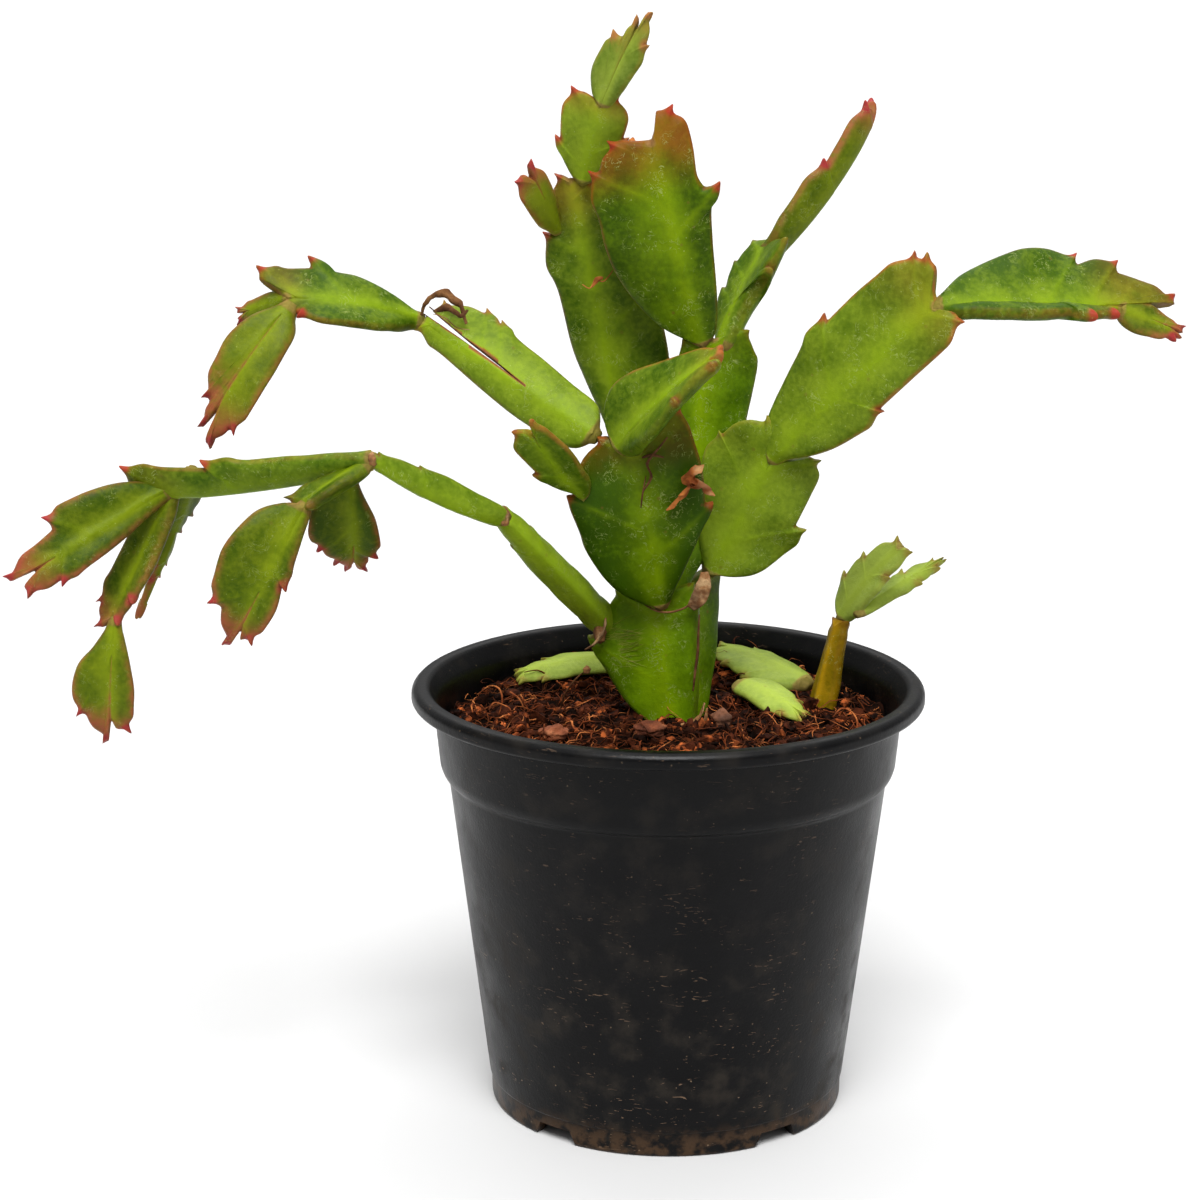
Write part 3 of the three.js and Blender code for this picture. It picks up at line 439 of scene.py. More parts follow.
def moulded_black():
    """Near-black moulded plastic: faint cloudiness, fine pimples, pale scuff lines, tan specks
    and dust that gather low down, and brown dust on the foot and in the corners."""
    f = Finish("moulded_black")
    height = f.node("ShaderNodeSeparateXYZ", {0: f.place}).outputs[2]
    low = f.step(height, 6, 70, 1.0, 0.3)
    clouds = f.noise(0.06, 4.0)
    fine = f.noise(1.6, 4.0)
    color = f.mix(f.step(clouds, 0.35, 0.7), seen(BLACK_DEEP), seen(BLACK_CLOUD))
    dust = f.times(f.step(f.noise(0.11, 5.0), 0.47, 0.72), low)
    color = f.mix(f.times(dust, 0.4), color, seen(POT_DUST))
    dots = f.times(f.step(f.cells(0.42), 0.05, 0.13, 1.0, 0.0), f.step(fine, 0.5, 0.6))
    color = f.mix(f.times(dots, low), color, seen(POT_SPECK))
    lines = f.noise(0.42, 3.0, ((0.5, 0.5, 2.2), (0.2, 0.4, 0.1)), 2.2)
    scuff = f.times(f.step(lines, 0.655, 0.675), f.step(f.noise(0.09, 2.0), 0.45, 0.6))
    color = f.mix(f.times(scuff, low), color, seen(POT_SCUFF))
    foot = f.times(f.step(height, 9, 2), f.step(f.noise(0.35, 4.0), 0.38, 0.6))
    color = f.mix(f.times(foot, 0.75), color, seen(FOOT_DUST))
    rough = f.step(clouds, 0.3, 0.7, 0.3, 0.42)
    rough = f.plus(rough, f.times(dust, 0.25))
    f.height([(fine, 0.05), (clouds, 0.25)])
    return f.finish(color, rough, POT_SPECULAR)


def dry_matter(name, dark, middle, bright, scale, specular=0.2, relief=0.3, patch=0.13):
    """Dry brown matter: from dark to bright by the piece's own tone and by noise, streaked."""
    f = Finish(name)
    tone = f.attribute("tone")[0]
    clouds = f.noise(scale * 0.25, 3.0)
    fine = f.noise(scale, 4.0)
    shade = f.plus(f.times(tone, 0.75), f.step(clouds, 0.3, 0.7, -0.2, 0.3))
    color = f.mix(f.step(shade, 0.0, 0.6), seen(dark), seen(middle))
    color = f.mix(f.step(shade, 0.6, 1.0), color, seen(bright))
    color = f.mix(f.step(fine, 0.5, 0.75, 0, 0.5), color, seen(dark))
    color = f.mix(f.step(f.noise(patch, 3.0), 0.44, 0.6, 0, 0.8), color, seen(dark))
    rough = f.step(fine, 0.3, 0.7, 0.75, 0.95)
    f.height([(fine, relief), (clouds, relief)])
    return f.finish(color, rough, specular)


FINISHES = {
    "old": waxy_skin("old_skin", (50, 80, 0), (134, 176, 14), (142, 172, 2), (150, 84, 26),
                     (168, 58, 34), 0.25, 0.5, 0.5),
    "green": waxy_skin("green_skin", (54, 86, 0), (166, 190, 50), (140, 172, 4), (178, 98, 48),
                       (170, 58, 44), 0.1, 0.3, 0.4),
    "young": waxy_skin("young_skin", (54, 80, 0), (150, 164, 30), (128, 150, 8), (172, 92, 62),
                       (166, 58, 56), 0.4, 0.2, 0.25, 0.12),
    "pale": waxy_skin("pale_skin", (72, 102, 0), (176, 196, 84), (166, 188, 58), (150, 140, 50),
                      (176, 112, 62), 0.1, 0.4, 0.3),
    "woody": waxy_skin("woody_skin", (112, 96, 0), (196, 148, 14), (206, 160, 24), (120, 70, 20),
                       (150, 90, 30), 0.3, 0.6, 0.4),
    "pot": moulded_black(),
    "soil": dry_matter("coir_bed", (8, 4, 2), (46, 22, 12), (112, 56, 30), 1.2, 0.03, 0.5),
    "crumb": dry_matter("coir_crumb", (16, 7, 4), (84, 40, 22), (226, 118, 60), 1.5, 0.05, 0.2),
    "fibre": dry_matter("coir_fibre", (40, 18, 8), (138, 68, 34), (236, 144, 80), 1.0, 0.08, 0.1),
    "pebble": dry_matter("pebble_face", (70, 42, 28), (132, 84, 58), (166, 116, 84), 1.1, 0.3, 0.2),
    "bark": dry_matter("bark_face", (78, 36, 20), (150, 82, 50), (206, 134, 90), 1.3, 0.25, 0.4),
    "cork": dry_matter("cork", (86, 50, 26), (158, 110, 66), (214, 176, 128), 1.6, 0.2, 0.25),
    "petal": dry_matter("dried_petal", (120, 52, 20), (212, 128, 62), (246, 204, 146), 0.8, 0.15,
                        0.1),
    "hair": dry_matter("pale_hair", (130, 140, 30), (184, 186, 84), (222, 220, 150), 1.0, 0.1,
                       0.05),
}


# ------------------------------------------------------------------ stem segments
SPACING = 0.7  # from place to place along an edge
LOBE = 0.11  # how far an edge rises between teeth, as a share of the last step
SHORTEST_LOBE = 2.5
CLAW_REACH = 0.7
CLAW_FORWARD, CLAW_OUTWARD = 0.9, 0.6
TIP_HOLLOW = 1.8  # how deep the hollow at a free tip is
HOLLOW_LOOKS = ("green", "young", "pale")
WIDEST_HORN = 2.3
THINNEST_EDGE = 0.3
CROSSING_PLACES = 24  # how many places ahead a notch may cross a row
CROSSING_RATIO = 0.97
STATION_CLEARANCE = 0.3
WIDE_STEP, LEAST_STEP = 0.03, 0.006  # between a row's station and the next, where there is room
VEIN_SLANT = 0.7
FOLD_ROUNDING = 1.6
FOLD_START = 8
WAVE_WIDTH = 10
LEFT_WAVE_LAG = 0.9
INNER_COLUMNS = 9
EDGE_COLUMNS = 4
EDGE_ROUNDING = 1.5
EDGE_SOFTNESS = 1.7
PLUMPNESS = 1.4
RIB_WIDTH, RIB_HEIGHT = 1.4, 0.35
VEIN_WIDTH, VEIN_HEIGHT = 0.9, 0.08
DIMPLE_SIZE, DIMPLE_HEIGHT = 8.0, 0.3
TOOTH_BLUSH = 1.7
NOTCH_BLUSH = 0.6
TIP_CORK = 1.8
SEAT_DEPTH, SEAT_SHARE = 1.1, 0.72  # how far the root row is sunk, and how far it is drawn in
FIRST_PAD_SEED, WING_SEED = 11, 99
WEDGE_DEPTH = 7
# By look: how long the claws are, and how strongly the margin and the claws are flushed.
CLAWS = {"old": 0.9, "green": 1.35, "young": 1.6, "pale": 1.3, "woody": 1.0}
FLUSHES = {"old": (0.35, 0.5), "green": (0.35, 0.55), "young": (0.8, 1.0), "pale": (0.3, 0.4),
           "woody": (0.3, 0.3)}


def through_places(places, spacing):
    """A curve through the places: on each span it is the cubic whose slope at a place is half
    the step between that place's two neighbours. Each span is cut into equal steps of its
    parameter, and the last place itself is left out."""
    p = np.asarray(places, float)
    before = np.vstack([p[:1], p[:-2]])
    after = np.vstack([p[2:], p[-1:]])
    steps = np.maximum(1, np.round(np.linalg.norm(p[1:] - p[:-1], axis=1) / spacing)).astype(int)
    span = np.repeat(np.arange(len(steps)), steps)
    t = (np.arange(len(span)) - np.repeat(np.cumsum(steps) - steps, steps)) / steps[span]
    a, b, c, d = before[span], p[:-1][span], p[1:][span], after[span]
    t = t[:, None]
    return 0.5 * (2 * b + (c - a) * t + (2 * a - 5 * b + 4 * c - d) * t ** 2
                  + (3 * b - a - 3 * c + d) * t ** 3)


def rounded_run(places, lobe):
    """The places of a run with one more on its last step, pushed out by a share of the step, so
    that the edge rises in a round lobe to the next tooth."""
    start, end = np.array(places[-2]), np.array(places[-1])
    step = end - start
    size = np.linalg.norm(step)
    if size < SHORTEST_LOBE:
        return places
    aside = np.array([-step[1], step[0]]) / size
    return places[:-1] + [(start + 0.5 * step + lobe * size * aside).tolist()] + [places[-1]]


def edge_outline(side, length, neck, claw, free):
    """The edge of one half: runs of the curve from tooth to tooth, each a round lobe. A tooth is a
    slim claw whose point stands out and forward, and the edge falls from it over a round notch.
    A free tip ends in a horn beside a round hollow; otherwise the edge closes on the midrib.
    One light averaging of each place with its neighbours rounds the corners."""
    runs, run = [], [[0, neck]]
    lobe = LOBE * min(claw, 1)
    for place in side:
        if len(place) == 2:
            run.append(place)
            continue
        x, y, depth = place
        out = CLAW_REACH * claw
        point = [x + CLAW_FORWARD * out, y + CLAW_OUTWARD * out]
        runs.append(rounded_run(run + [[x - 1.3, y - 0.1]], lobe) + [point])
        runs.append([point, [x - 0.1, y - 0.5 * depth], [x + 0.1, y - 0.95 * depth]])
        run = [runs[-1][-1]]
    x, y = run[0]
    if free:
        end = length - TIP_HOLLOW
        horn = min(0.5 * y, WIDEST_HORN)
        middle = [0.45 * x + 0.55 * length, horn + 0.5 * (y - horn)]
        point = [length + 0.25, horn]
        runs.append([[x, y], middle, point])
        runs.append([point, [length - 0.9, 0.72 * horn], [length - 1.7, 0.3 * horn], [end, 0]])
    else:
        end = length
        runs.append([[x, y], [0.6 * x + 0.4 * length, 0.7 * y],
                     [0.2 * x + 0.8 * length, 0.38 * y], [length, 0]])
    outline = np.vstack([through_places(places, SPACING) for places in runs]
                        + [[[end - 0.02, THINNEST_EDGE]]])
    outline[1:-1] = 0.25 * outline[:-2] + 0.5 * outline[1:-1] + 0.25 * outline[2:]
    outline[:, 1] = np.maximum(outline[:, 1], THINNEST_EDGE)
    return outline


def midrib_stations(outline, length):
    """Where the row to each edge place leaves the midrib: VEIN_SLANT of its width behind it, or
    further back where a notch ahead would cross the row, and never before the row behind it."""
    x, y = outline[:, 0], np.maximum(outline[:, 1], 0.05)
    ratio = y[None, :] / y[:, None]
    index = np.arange(len(x))
    ahead = index[None, :] - index[:, None]
    crossing = (ahead > 0) & (ahead <= CROSSING_PLACES) & (ratio < CROSSING_RATIO)
    reach = (x[None, :] - x[:, None] * ratio) / np.where(crossing, 1 - ratio, 1)
    reach = reach - STATION_CLEARANCE
    limit = np.minimum(x - VEIN_SLANT * y, np.where(crossing, reach, np.inf).min(axis=1))
    limit = np.minimum(limit, length - STATION_CLEARANCE)
    slack = WIDE_STEP * index
    stations = slack + np.minimum.accumulate((limit - slack)[::-1])[::-1]
    slack = LEAST_STEP * index
    return slack + np.maximum.accumulate(np.maximum(stations, 0) - slack)


class Pad:
    """A flat, jointed stem segment between its seat and its tip. Its edges hold [along, out] places
    and [along, out, depth] teeth. The tone goes from 0, the deepest green, to 1, the palest; the
    blush flushes the whole blade towards its tip; the flush is that of the margin and the claws,
    and the right half keeps right_flush of the margin's."""

    def __init__(self, name, look, seat, tip, face, neck=2.2, thick=1.5, fold=(0, 0), bow=0,
                 twist=0, wave=(0, 1, 0), left=(), right=None, tone=0.3, blush=0, claw=None,
                 flush=None, right_flush=1):
        self.name, self.look, self.neck, self.thick = name, look, neck, thick
        self.fold, self.bow, self.twist, self.wave = fold, bow, twist, wave
        self.edges = {-1: left, 1: right or left}
        self.tone, self.blush, self.right_flush = tone, blush, right_flush
        self.claw = claw or CLAWS[look]
        self.flush = flush or FLUSHES[look]
        self.seat = np.asarray(seat, float)
        self.length = np.linalg.norm(np.asarray(tip, float) - self.seat)
        self.along = (np.asarray(tip, float) - self.seat) / self.length
        face = np.asarray(face, float)
        self.normal = unit(face - self.along * (face @ self.along))
        self.across = np.cross(self.along, self.normal)

    def place(self, x, y, side, height):
        """Places on the blade: seat + x along, the bow as a parabola, y across on its side and
        turned up by the fold over a round keel, the wave as a sine that grows with y squared, and
        the height along the blade's own normal. The twist turns the frame by x's share of it."""
        x, y, side, height = np.broadcast_arrays(*[np.asarray(v, float) for v in
                                                   (x, y, side, height)])
        s = x / self.length
        turn = np.radians(self.twist) * s
        cos, sin = np.cos(turn)[..., None], np.sin(turn)[..., None]
        normal = self.normal * cos + self.across * sin
        across = self.across * cos - self.normal * sin
        ease = np.clip(x / FOLD_START, 0, 1)
        fold = np.radians(np.where(side < 0, *self.fold)) * (0.35 + 0.65 * ease)
        size, count, phase = self.wave
        beat = 2 * np.pi * count * s + phase + np.where(side < 0, LEFT_WAVE_LAG, 0)
        ripple = size * np.sin(beat) * (y / WAVE_WIDTH) ** 2 * ease
        points = self.seat + self.along * x[..., None]
        points = points + self.normal * (self.bow * 4 * s * (1 - s))[..., None]
        rise = np.sqrt(y ** 2 + FOLD_ROUNDING ** 2) - FOLD_ROUNDING
        points = points + across * (side * y * np.cos(fold))[..., None]
        points = points + normal * (rise * np.sin(fold) + ripple)[..., None]
        lean = fold * (1 - bell(y, FOLD_ROUNDING))
        up = normal * np.cos(lean)[..., None] - across * (side * np.sin(lean))[..., None]
        return points + up * height[..., None]

    def point(self, x, y):
        """A place on the blade's middle sheet, left of the midrib where y is negative."""
        return self.place(x, abs(y), -1 if y < 0 else 1, 0)

    def blade_top(self, x, y):
        """A place just on the top skin, for what lies on it."""
        return self.place(x, y, 1, self.half_thickness(x) * 0.93)

    def half_thickness(self, x):
        """Half the thickness along the midrib, which thins with the cube of x towards the tip."""
        return self.thick * (1 - 0.35 * np.clip(x / self.length, 0, 1) ** 3)

    def skin_height(self, x, y, inward, widest):
        """Half the thickness: a dome that falls off with the square of y, and that closes on the
        edge as the square root of 1 - exp(-inward / EDGE_SOFTNESS)."""
        dome = 1 - 0.4 * np.clip(y / widest, 0, 1) ** 2
        rim = np.sqrt(1 - np.exp(-np.maximum(inward, 0) / EDGE_SOFTNESS))
        return self.half_thickness(x) * PLUMPNESS * dome * rim

    def teeth(self):
        """Each tooth with the side that it stands on."""
        return [(side, tooth) for side, places in self.edges.items() for tooth in places
                if len(tooth) > 2]

    def skin(self, seed):
        """The closed skin's places, faces and paint. Row by row a loop runs from the midrib over
        the top of the right half, round its edge, back under it, under the left half and over it
        to the midrib. The midrib, the veins to the teeth and a seeded unevenness are raised on it.
        The paint tells the material where the edge, the tip, the ribs and the teeth are."""
        free = self.name not in PARENTS and self.look in HOLLOW_LOOKS
        end = self.length - (TIP_HOLLOW if free else 0)
        outlines = {side: edge_outline(places, self.length, self.neck, self.claw, free)
                    for side, places in self.edges.items()}
        stations = {side: midrib_stations(outline, end) for side, outline in outlines.items()}
        rows = np.unique(np.round(np.concatenate([stations[-1], stations[1]]), 4))
        rows = rows[np.concatenate([[True], np.diff(rows) > 0.004])]
        rows = np.append(rows, end - 0.01)

        angle = np.linspace(0, np.pi / 2, EDGE_COLUMNS + 1)[1:]
        inner = np.linspace(0, 1, INNER_COLUMNS)
        top = len(inner) + len(angle) - 1
        order = np.concatenate([np.arange(top + 1), np.arange(top)[::-1],
                                np.arange(1, top + 1), np.arange(1, top)[::-1]])
        side = np.repeat([1.0, -1.0], [2 * top + 1, 2 * top - 1])
        layer = np.repeat([1.0, -1.0, 1.0], [top + 1, 2 * top, top - 1])

        edge_x = np.stack([np.interp(rows, stations[s], outlines[s][:, 0]) for s in (-1, 1)])
        edge_y = np.stack([np.interp(rows, stations[s], outlines[s][:, 1]) for s in (-1, 1)])
        edge_x[:, -1] = end - 0.02
        edge_y[:, -1] = THINNEST_EDGE
        pick = (side > 0).astype(int)
        end_x, end_y = edge_x[pick].T, edge_y[pick].T
        rim = np.minimum(EDGE_ROUNDING / np.maximum(end_y, 0.05), 0.5)
        blend = np.concatenate([inner, np.ones(len(angle))])[order]
        bend = np.concatenate([np.zeros(len(inner)), np.sin(angle)])[order]
        v = blend * (1 - rim) + bend * rim

        base = np.repeat(rows[:, None], len(order), axis=1)
        x = base + (end_x - base) * v
        y = end_y * v
        inward = np.hypot(end_x - base, end_y) * (1 - v)
        flank = bell(y, RIB_WIDTH)
        vein, tooth_near, notch_near = np.zeros((3, *x.shape))
        for s, (tooth_x, tooth_y, depth) in self.teeth():
            on_side = side == s
            nearest = np.argmin(np.hypot(outlines[s][:, 0] - tooth_x, outlines[s][:, 1] - tooth_y))
            line = bell(base - stations[s][nearest], VEIN_WIDTH) * on_side
            vein = np.maximum(vein, line * np.clip(4 * v * (1 - v), 0, 1))
            reach = np.hypot(x - tooth_x, y - tooth_y)
            tooth_near = np.maximum(tooth_near, bell(reach, TOOTH_BLUSH) * on_side)
            reach = np.hypot(x - tooth_x, y - tooth_y + depth)
            notch_near = np.maximum(notch_near, bell(reach, NOTCH_BLUSH) * on_side)

        height = self.skin_height(x, y, inward, edge_y.max())
        height = height + RIB_HEIGHT * flank * np.clip(end_y / 6, 0, 1) + VEIN_HEIGHT * vein
        sunk = bell(x, 0.8) * (base < 0.02)
        dimple = layered_noise(self.place(x, y, side, 0), DIMPLE_SIZE, seed, 2)
        dimple = dimple * DIMPLE_HEIGHT * (1 - sunk)
        points = self.place(x, y, side, layer * height + dimple * np.clip(y / 3, 0, 1))
        # the root row runs a little way into what the segment grows from
        root = points[0] - self.along * SEAT_DEPTH
        root = root.mean(0) + (root - root.mean(0)) * SEAT_SHARE
        points = np.concatenate([root[None], points])

        to_edge = np.minimum(end_y * (1 - v), np.abs(end - x) + 0.5 * np.abs(y))
        tip_near = bell(np.hypot(x - self.length, y), TIP_CORK)
        broad = bell(y, 0.4 * np.maximum(end_y, 4))
        margin, claw = self.flush
        margin = margin * np.where(side > 0, self.right_flush, 1) + 0 * x
        paint = {"pad": [np.exp(-to_edge / 1.0), x / self.length, flank, broad],
                 "mark": [tooth_near, np.maximum(bell(x, 1.5), tip_near), vein, notch_near],
                 "tone": [self.tone + 0 * x, margin, claw + 0 * x, self.blush + 0 * x]}
        for name, channels in paint.items():
            channels = np.stack(channels, -1)
            paint[name] = np.concatenate([channels[:1], channels]).reshape(-1, 4)
        return points.reshape(-1, 3), tube_faces(*points.shape[:2]), paint


pads = {}
PARENTS = set()


def pad(name, look, start, tip, face, **form):
    """Adds a segment that grows from a place [parent, along, across] or from a point."""
    if isinstance(start[0], str):
        PARENTS.add(start[0])
        seat = pads[start[0]].point(start[1], start[2])
    else:
        seat = start
    pads[name] = Pad(name, look, seat, tip, face, **form)


pad("trunk_segment", "old", [4, 4.6, 75.5], [-3.1, 2, 122.9], [-0.25, -1, 0.1], neck=4.2, thick=3,
    tone=0.55, flush=(0.15, 0.1), claw=0.6,
    left=[[12, 5.2], [16, 6.6], [23, 11.8], [31, 15.5], [38, 17.9, 1.2], [43, 12.5], [49, 9.5, 1]],
    right=[[12, 4.8], [16, 5.4], [24, 7], [34, 8.4], [44, 10], [49, 9.5, 1]])
pad("trunk_wing", "old", [5.5, 6.5, 80], [2.5, 6, 124], [-0.8, 0.7, 0], neck=1, thick=2,
    left=[[8, 4], [16, 7.5], [28, 11.5], [40, 14], [46, 14.5, 1]],
    right=[[10, 2], [30, 3], [42, 2, 0.5]])
pad("front_segment", "old", [-1.7, -3, 121], [-7.3, -13, 159.9], [0, -1, 0.15], thick=1.9, bow=1.5,
    wave=[0.4, 1.4, 0.5], tone=0.05, flush=(0.45, 0.6), claw=0.5,
    left=[[1.3, 4.7], [5.6, 9.5], [11.2, 13], [17, 15.3], [21.7, 15.9], [28.2, 17.1],
          [31.8, 17.4, 1.8], [37.9, 13.4], [43.7, 8.6, 2]],
    right=[[3.9, 3.8], [8, 6.2], [14.4, 9.8], [19.3, 12.8], [24.3, 15.2, 1.8], [33.5, 13.9],
          [40.2, 12.9], [48.2, 11, 3.5]])
pad("front_left_segment", "green", ["front_segment", 31, -13.5], [-31, -26, 166.4],
    [-0.5, -0.9, 0.5], fold=[25, 25], neck=1.6, thick=1.3, tone=0.3, flush=(0.5, 0.4), claw=0.6,
    left=[[3.4, 1.9], [5.4, 3.6], [9.6, 5.3], [13.4, 6.4, 1], [22, 6], [26.8, 3.9, 1]],
    right=[[4, 4], [9.7, 5.7], [16.4, 6.4], [20.5, 5.4], [24.5, 4.2], [28, 2.5, 1]])
pad("front_top_segment", "green", ["front_segment", 41, -3.8], [11.4, -30, 182.8],
    [-0.3, -0.9, 0.2], fold=[10, 40], twist=-50, bow=2, thick=1.6, neck=2.6, tone=0.28, blush=0.15,
    flush=(0.9, 0.35), right_flush=0.08, claw=0.5,
    left=[[0.6, 5.5], [3, 9], [8, 11.5], [14, 11.5], [22, 9.4], [30, 7], [36.5, 4, 1.5]],
    right=[[2, 4], [8, 7], [16, 9], [26, 8.5, 1], [36, 5, 2]])
pad("right_segment_1", "green", [9.7, 6, 126.8], [23.9, 1, 154.8], [0.1, -1, 0.15], thick=1.8,
    bow=-1, wave=[0.6, 1.6, 1.4], tone=0.5, flush=(0.15, 0.15), claw=1.0,
    left=[[3.4, 4.4], [9.8, 8.2], [16.3, 11.8], [23, 13.9], [31.1, 13.7, 1], [35.4, 11.6],
          [40.2, 6, 3]],
    right=[[2.2, 7.3], [5.6, 11], [12.6, 14.5], [19.3, 14.9, 2.6], [25.6, 12.3], [31, 12.1],
          [36, 9.9, 2.4]])
pad("right_segment_2", "green", ["right_segment_1", 31.2, 0], [59.1, -18, 193], [0, -1, 0.25],
    fold=[-8, 16], thick=1.8, bow=1, wave=[0.5, 2.2, 0], tone=0.4, blush=0.12, flush=(0.7, 0.7),
    left=[[0.6, 2.8], [8, 8.3], [16, 11.4], [24.5, 14.1], [33.4, 15.9, 1.6], [41.7, 14.6],
          [50.1, 14.1], [59.1, 12, 1], [61, 9.8, 3.4]],
    right=[[3.4, 2.9], [9, 6], [15.2, 8.5], [22, 9.9], [30, 9.5, 0.8], [39.6, 8.7], [49.3, 8.8],
          [57.7, 6.9, 3]])
pad("right_segment_3", "green", ["right_segment_2", 54.9, 0.3], [101.1, -8, 190.4], [0, -0.8, 0.6],
    fold=[0, 52], thick=1.6, bow=0.6, wave=[0.6, 2, 1], tone=0.12, blush=0.15, flush=(0.3, 0.95),
    left=[[2.1, 3.8], [6.4, 7.9], [12.1, 11.3], [19.1, 13.7], [25.8, 15.3], [34.8, 14.4, 3],
          [43.9, 12.1, 3], [50, 7.6], [57, 4.4, 2.4]],
    right=[[3.9, 3.4], [12.9, 5.4], [21.7, 5.8], [30, 5.4], [34.6, 8, 3], [41.3, 4, 1]])
pad("right_young_tip", "young", ["right_segment_3", 42.6, 0.6], [115.1, -6, 184.3], [0, -0.8, 0.6],
    fold=[20, 30], neck=1.3, thick=1.2, blush=0.75, flush=(0.9, 1.0),
    left=[[1.8, 3], [6.6, 4.4], [12, 3], [16, 2.2, 0.8]],
    right=[[1.5, 3], [4.8, 4.9], [9, 4.6], [14, 2.4, 0.8]])
pad("middle_segment", "old", ["trunk_segment", 46, 4], [10, 14, 180.3], [0.1, -1, 0.1], thick=1.8,
    bow=-5, neck=2.6, tone=0.34, flush=(0.2, 0.2), claw=0.35,
    left=[[7, 4.5], [21, 7.5], [40, 7.5, 0.8], [59.6, 7, 1.2]],
    right=[[7, 5], [17, 9.5], [29, 11], [42, 12.2, 1], [56, 11.6], [64, 8.2, 3]])
pad("tall_segment", "old", ["middle_segment", 59.6, -2.2], [-4.7, 6, 226.7], [-0.1, -1, 0.15],
    thick=1.8, bow=2, wave=[0.5, 1.2, 2], tone=0.2, blush=0.6, flush=(0.6, 1.0), claw=1.25,
    left=[[3, 4.7], [7.2, 9], [13.6, 12.7], [20.8, 15.1], [28.2, 15.9], [35.2, 15.7],
          [45.4, 15.2, 2.4], [51, 9.4, 2.6]],
    right=[[2.6, 4], [10.6, 6.1], [23.8, 8.3], [31.6, 10], [36.4, 12.9, 3.6], [39.4, 8.5],
          [45.6, 9.1], [51, 9], [55.4, 6.6, 4]])
pad("side_segment_1", "green", ["middle_segment", 59.4, 3], [24.2, 24, 201.9], [-0.8, -0.45, 0.1],
    fold=[20, 20], thick=1.8, tone=0.25, flush=(0.2, 0.2), claw=0.5,
    left=[[3, 4.4], [9, 7.2], [14, 8.6, 1.2], [21, 8.6, 1], [27, 6.4, 1.5]],
    right=[[3, 3], [8, 3.4], [12, 4.4], [16, 7], [19, 11, 1.2], [26.5, 13, 3]])
pad("side_segment_2", "young", ["side_segment_1", 24.6, 0.5], [47, 32, 231.4], [-0.9, 0.25, 0.5],
    fold=[42, 42], thick=1.7, bow=-1.6, tone=0.35, blush=0.4,
    left=[[2, 4.4], [5, 6.4], [12, 6], [22, 5, 1], [30, 4.6], [43.6, 3.4, 2.2]],
    right=[[2, 3.6], [6, 5.6], [14, 6.6], [24, 6, 1.2], [32, 5.4], [41, 3.8, 2.2]])
pad("back_segment_1", "old", ["trunk_segment", 46.5, -4], [-10.5, 24, 154], [-0.05, -1, 0.1],
    thick=1.8, bow=-3, tone=0.85, flush=(0.1, 0.1), claw=0.7,
    left=[[3, 5], [10, 9], [20, 11], [28, 10.5, 1.5], [35, 7.5, 2]])
pad("back_segment_2", "green", ["back_segment_1", 38, 0], [-23.3, 18, 216.8], [-0.1, -1, 0.1],
    thick=1.7, bow=-2, wave=[0.6, 1.8, 0], tone=0.25, blush=0.3, flush=(0.4, 0.9),
    left=[[5, 3.6], [10.5, 4.8], [18, 6.6], [26, 8], [40, 8.4], [53.6, 8.8, 3.2], [61, 5],
          [67, 3, 1.2]],
    right=[[4.5, 7.6], [10, 11.4], [17, 14], [29, 14.2], [36, 12.6, 1], [42, 10.4], [52, 7.6],
          [64.4, 5.4, 1.5]])
pad("back_segment_3", "green", ["back_segment_2", 64.6, 2.8], [-15.7, 12, 234.9], [0, -1, 0.1],
    thick=1.4, tone=0.6, blush=0.25, flush=(0.8, 0.9),
    left=[[1.4, 3.4], [5.4, 6.6], [8.8, 8.3, 1], [15, 8.5], [21.2, 7.4, 3]],
    right=[[1.8, 3.6], [7.2, 6.8], [12.6, 7.7, 1], [17.4, 6.9], [22.6, 3.6, 2]])
pad("back_segment_4", "pale", ["back_segment_3", 19.4, 0.6], [-7.1, 4, 252.8], [-0.35, -0.9, 0],
    fold=[12, 25], neck=1.8, thick=1.3, tone=0.4, blush=0.4, flush=(0.9, 0.9),
    left=[[1.4, 3.8], [6.4, 6], [13, 5.8], [17, 4.8, 2.6], [23, 1.1, 0.4]],
    right=[[2.6, 2.4], [7.4, 4], [12.4, 5], [19, 4.8, 0.8], [25.6, 1.6, 0.8]])
pad("back_young_segment", "young", ["back_segment_2", 53.6, -5.6], [-32.5, 8, 219.2],
    [0.3, -0.9, 0.3], fold=[18, 18], neck=1.3, thick=1.2, tone=0.7, blush=0.55,
    left=[[2.4, 2.2], [7.2, 4.4], [15.6, 5.6], [21.8, 4.4, 2.4]],
    right=[[2.4, 2], [9, 3.4], [15.4, 3.8], [22.6, 1.8, 1]])
pad("upper_left_segment_1", "green", [-16.9, -11.4, 161.9], [-57, 6, 185.2], [0, -1, 0.35],
    fold=[-12, -16], thick=1.5, bow=1, tone=0.5,
    left=[[3.6, 5.6], [15.4, 6.6], [26.9, 5.8], [41.3, 4], [49.4, 2.4, 0.5]],
    right=[[3.5, 6.2], [11.5, 7.4], [20.7, 8.6], [29, 9.4], [34, 10.7, 0.8], [38.8, 11.2, 1.2],
          [48.3, 7.2, 1.5]])
pad("upper_left_segment_2", "green", ["upper_left_segment_1", 50.2, -0.2], [-87.4, -4, 191.4],
    [0, -0.8, 0.6], fold=[30, 0], thick=1.5, bow=1.5, tone=0.2, blush=0.12, flush=(0.3, 0.95),
    left=[[2.5, 3], [7, 5.4], [12.8, 7], [21.1, 7.4], [29.2, 5.8, 1]],
    right=[[2.1, 2.4], [7.3, 5.1], [14.8, 7.9], [21, 8.6], [26.2, 11.6, 3], [31.5, 8.2],
          [37.6, 8.4, 3.4]])
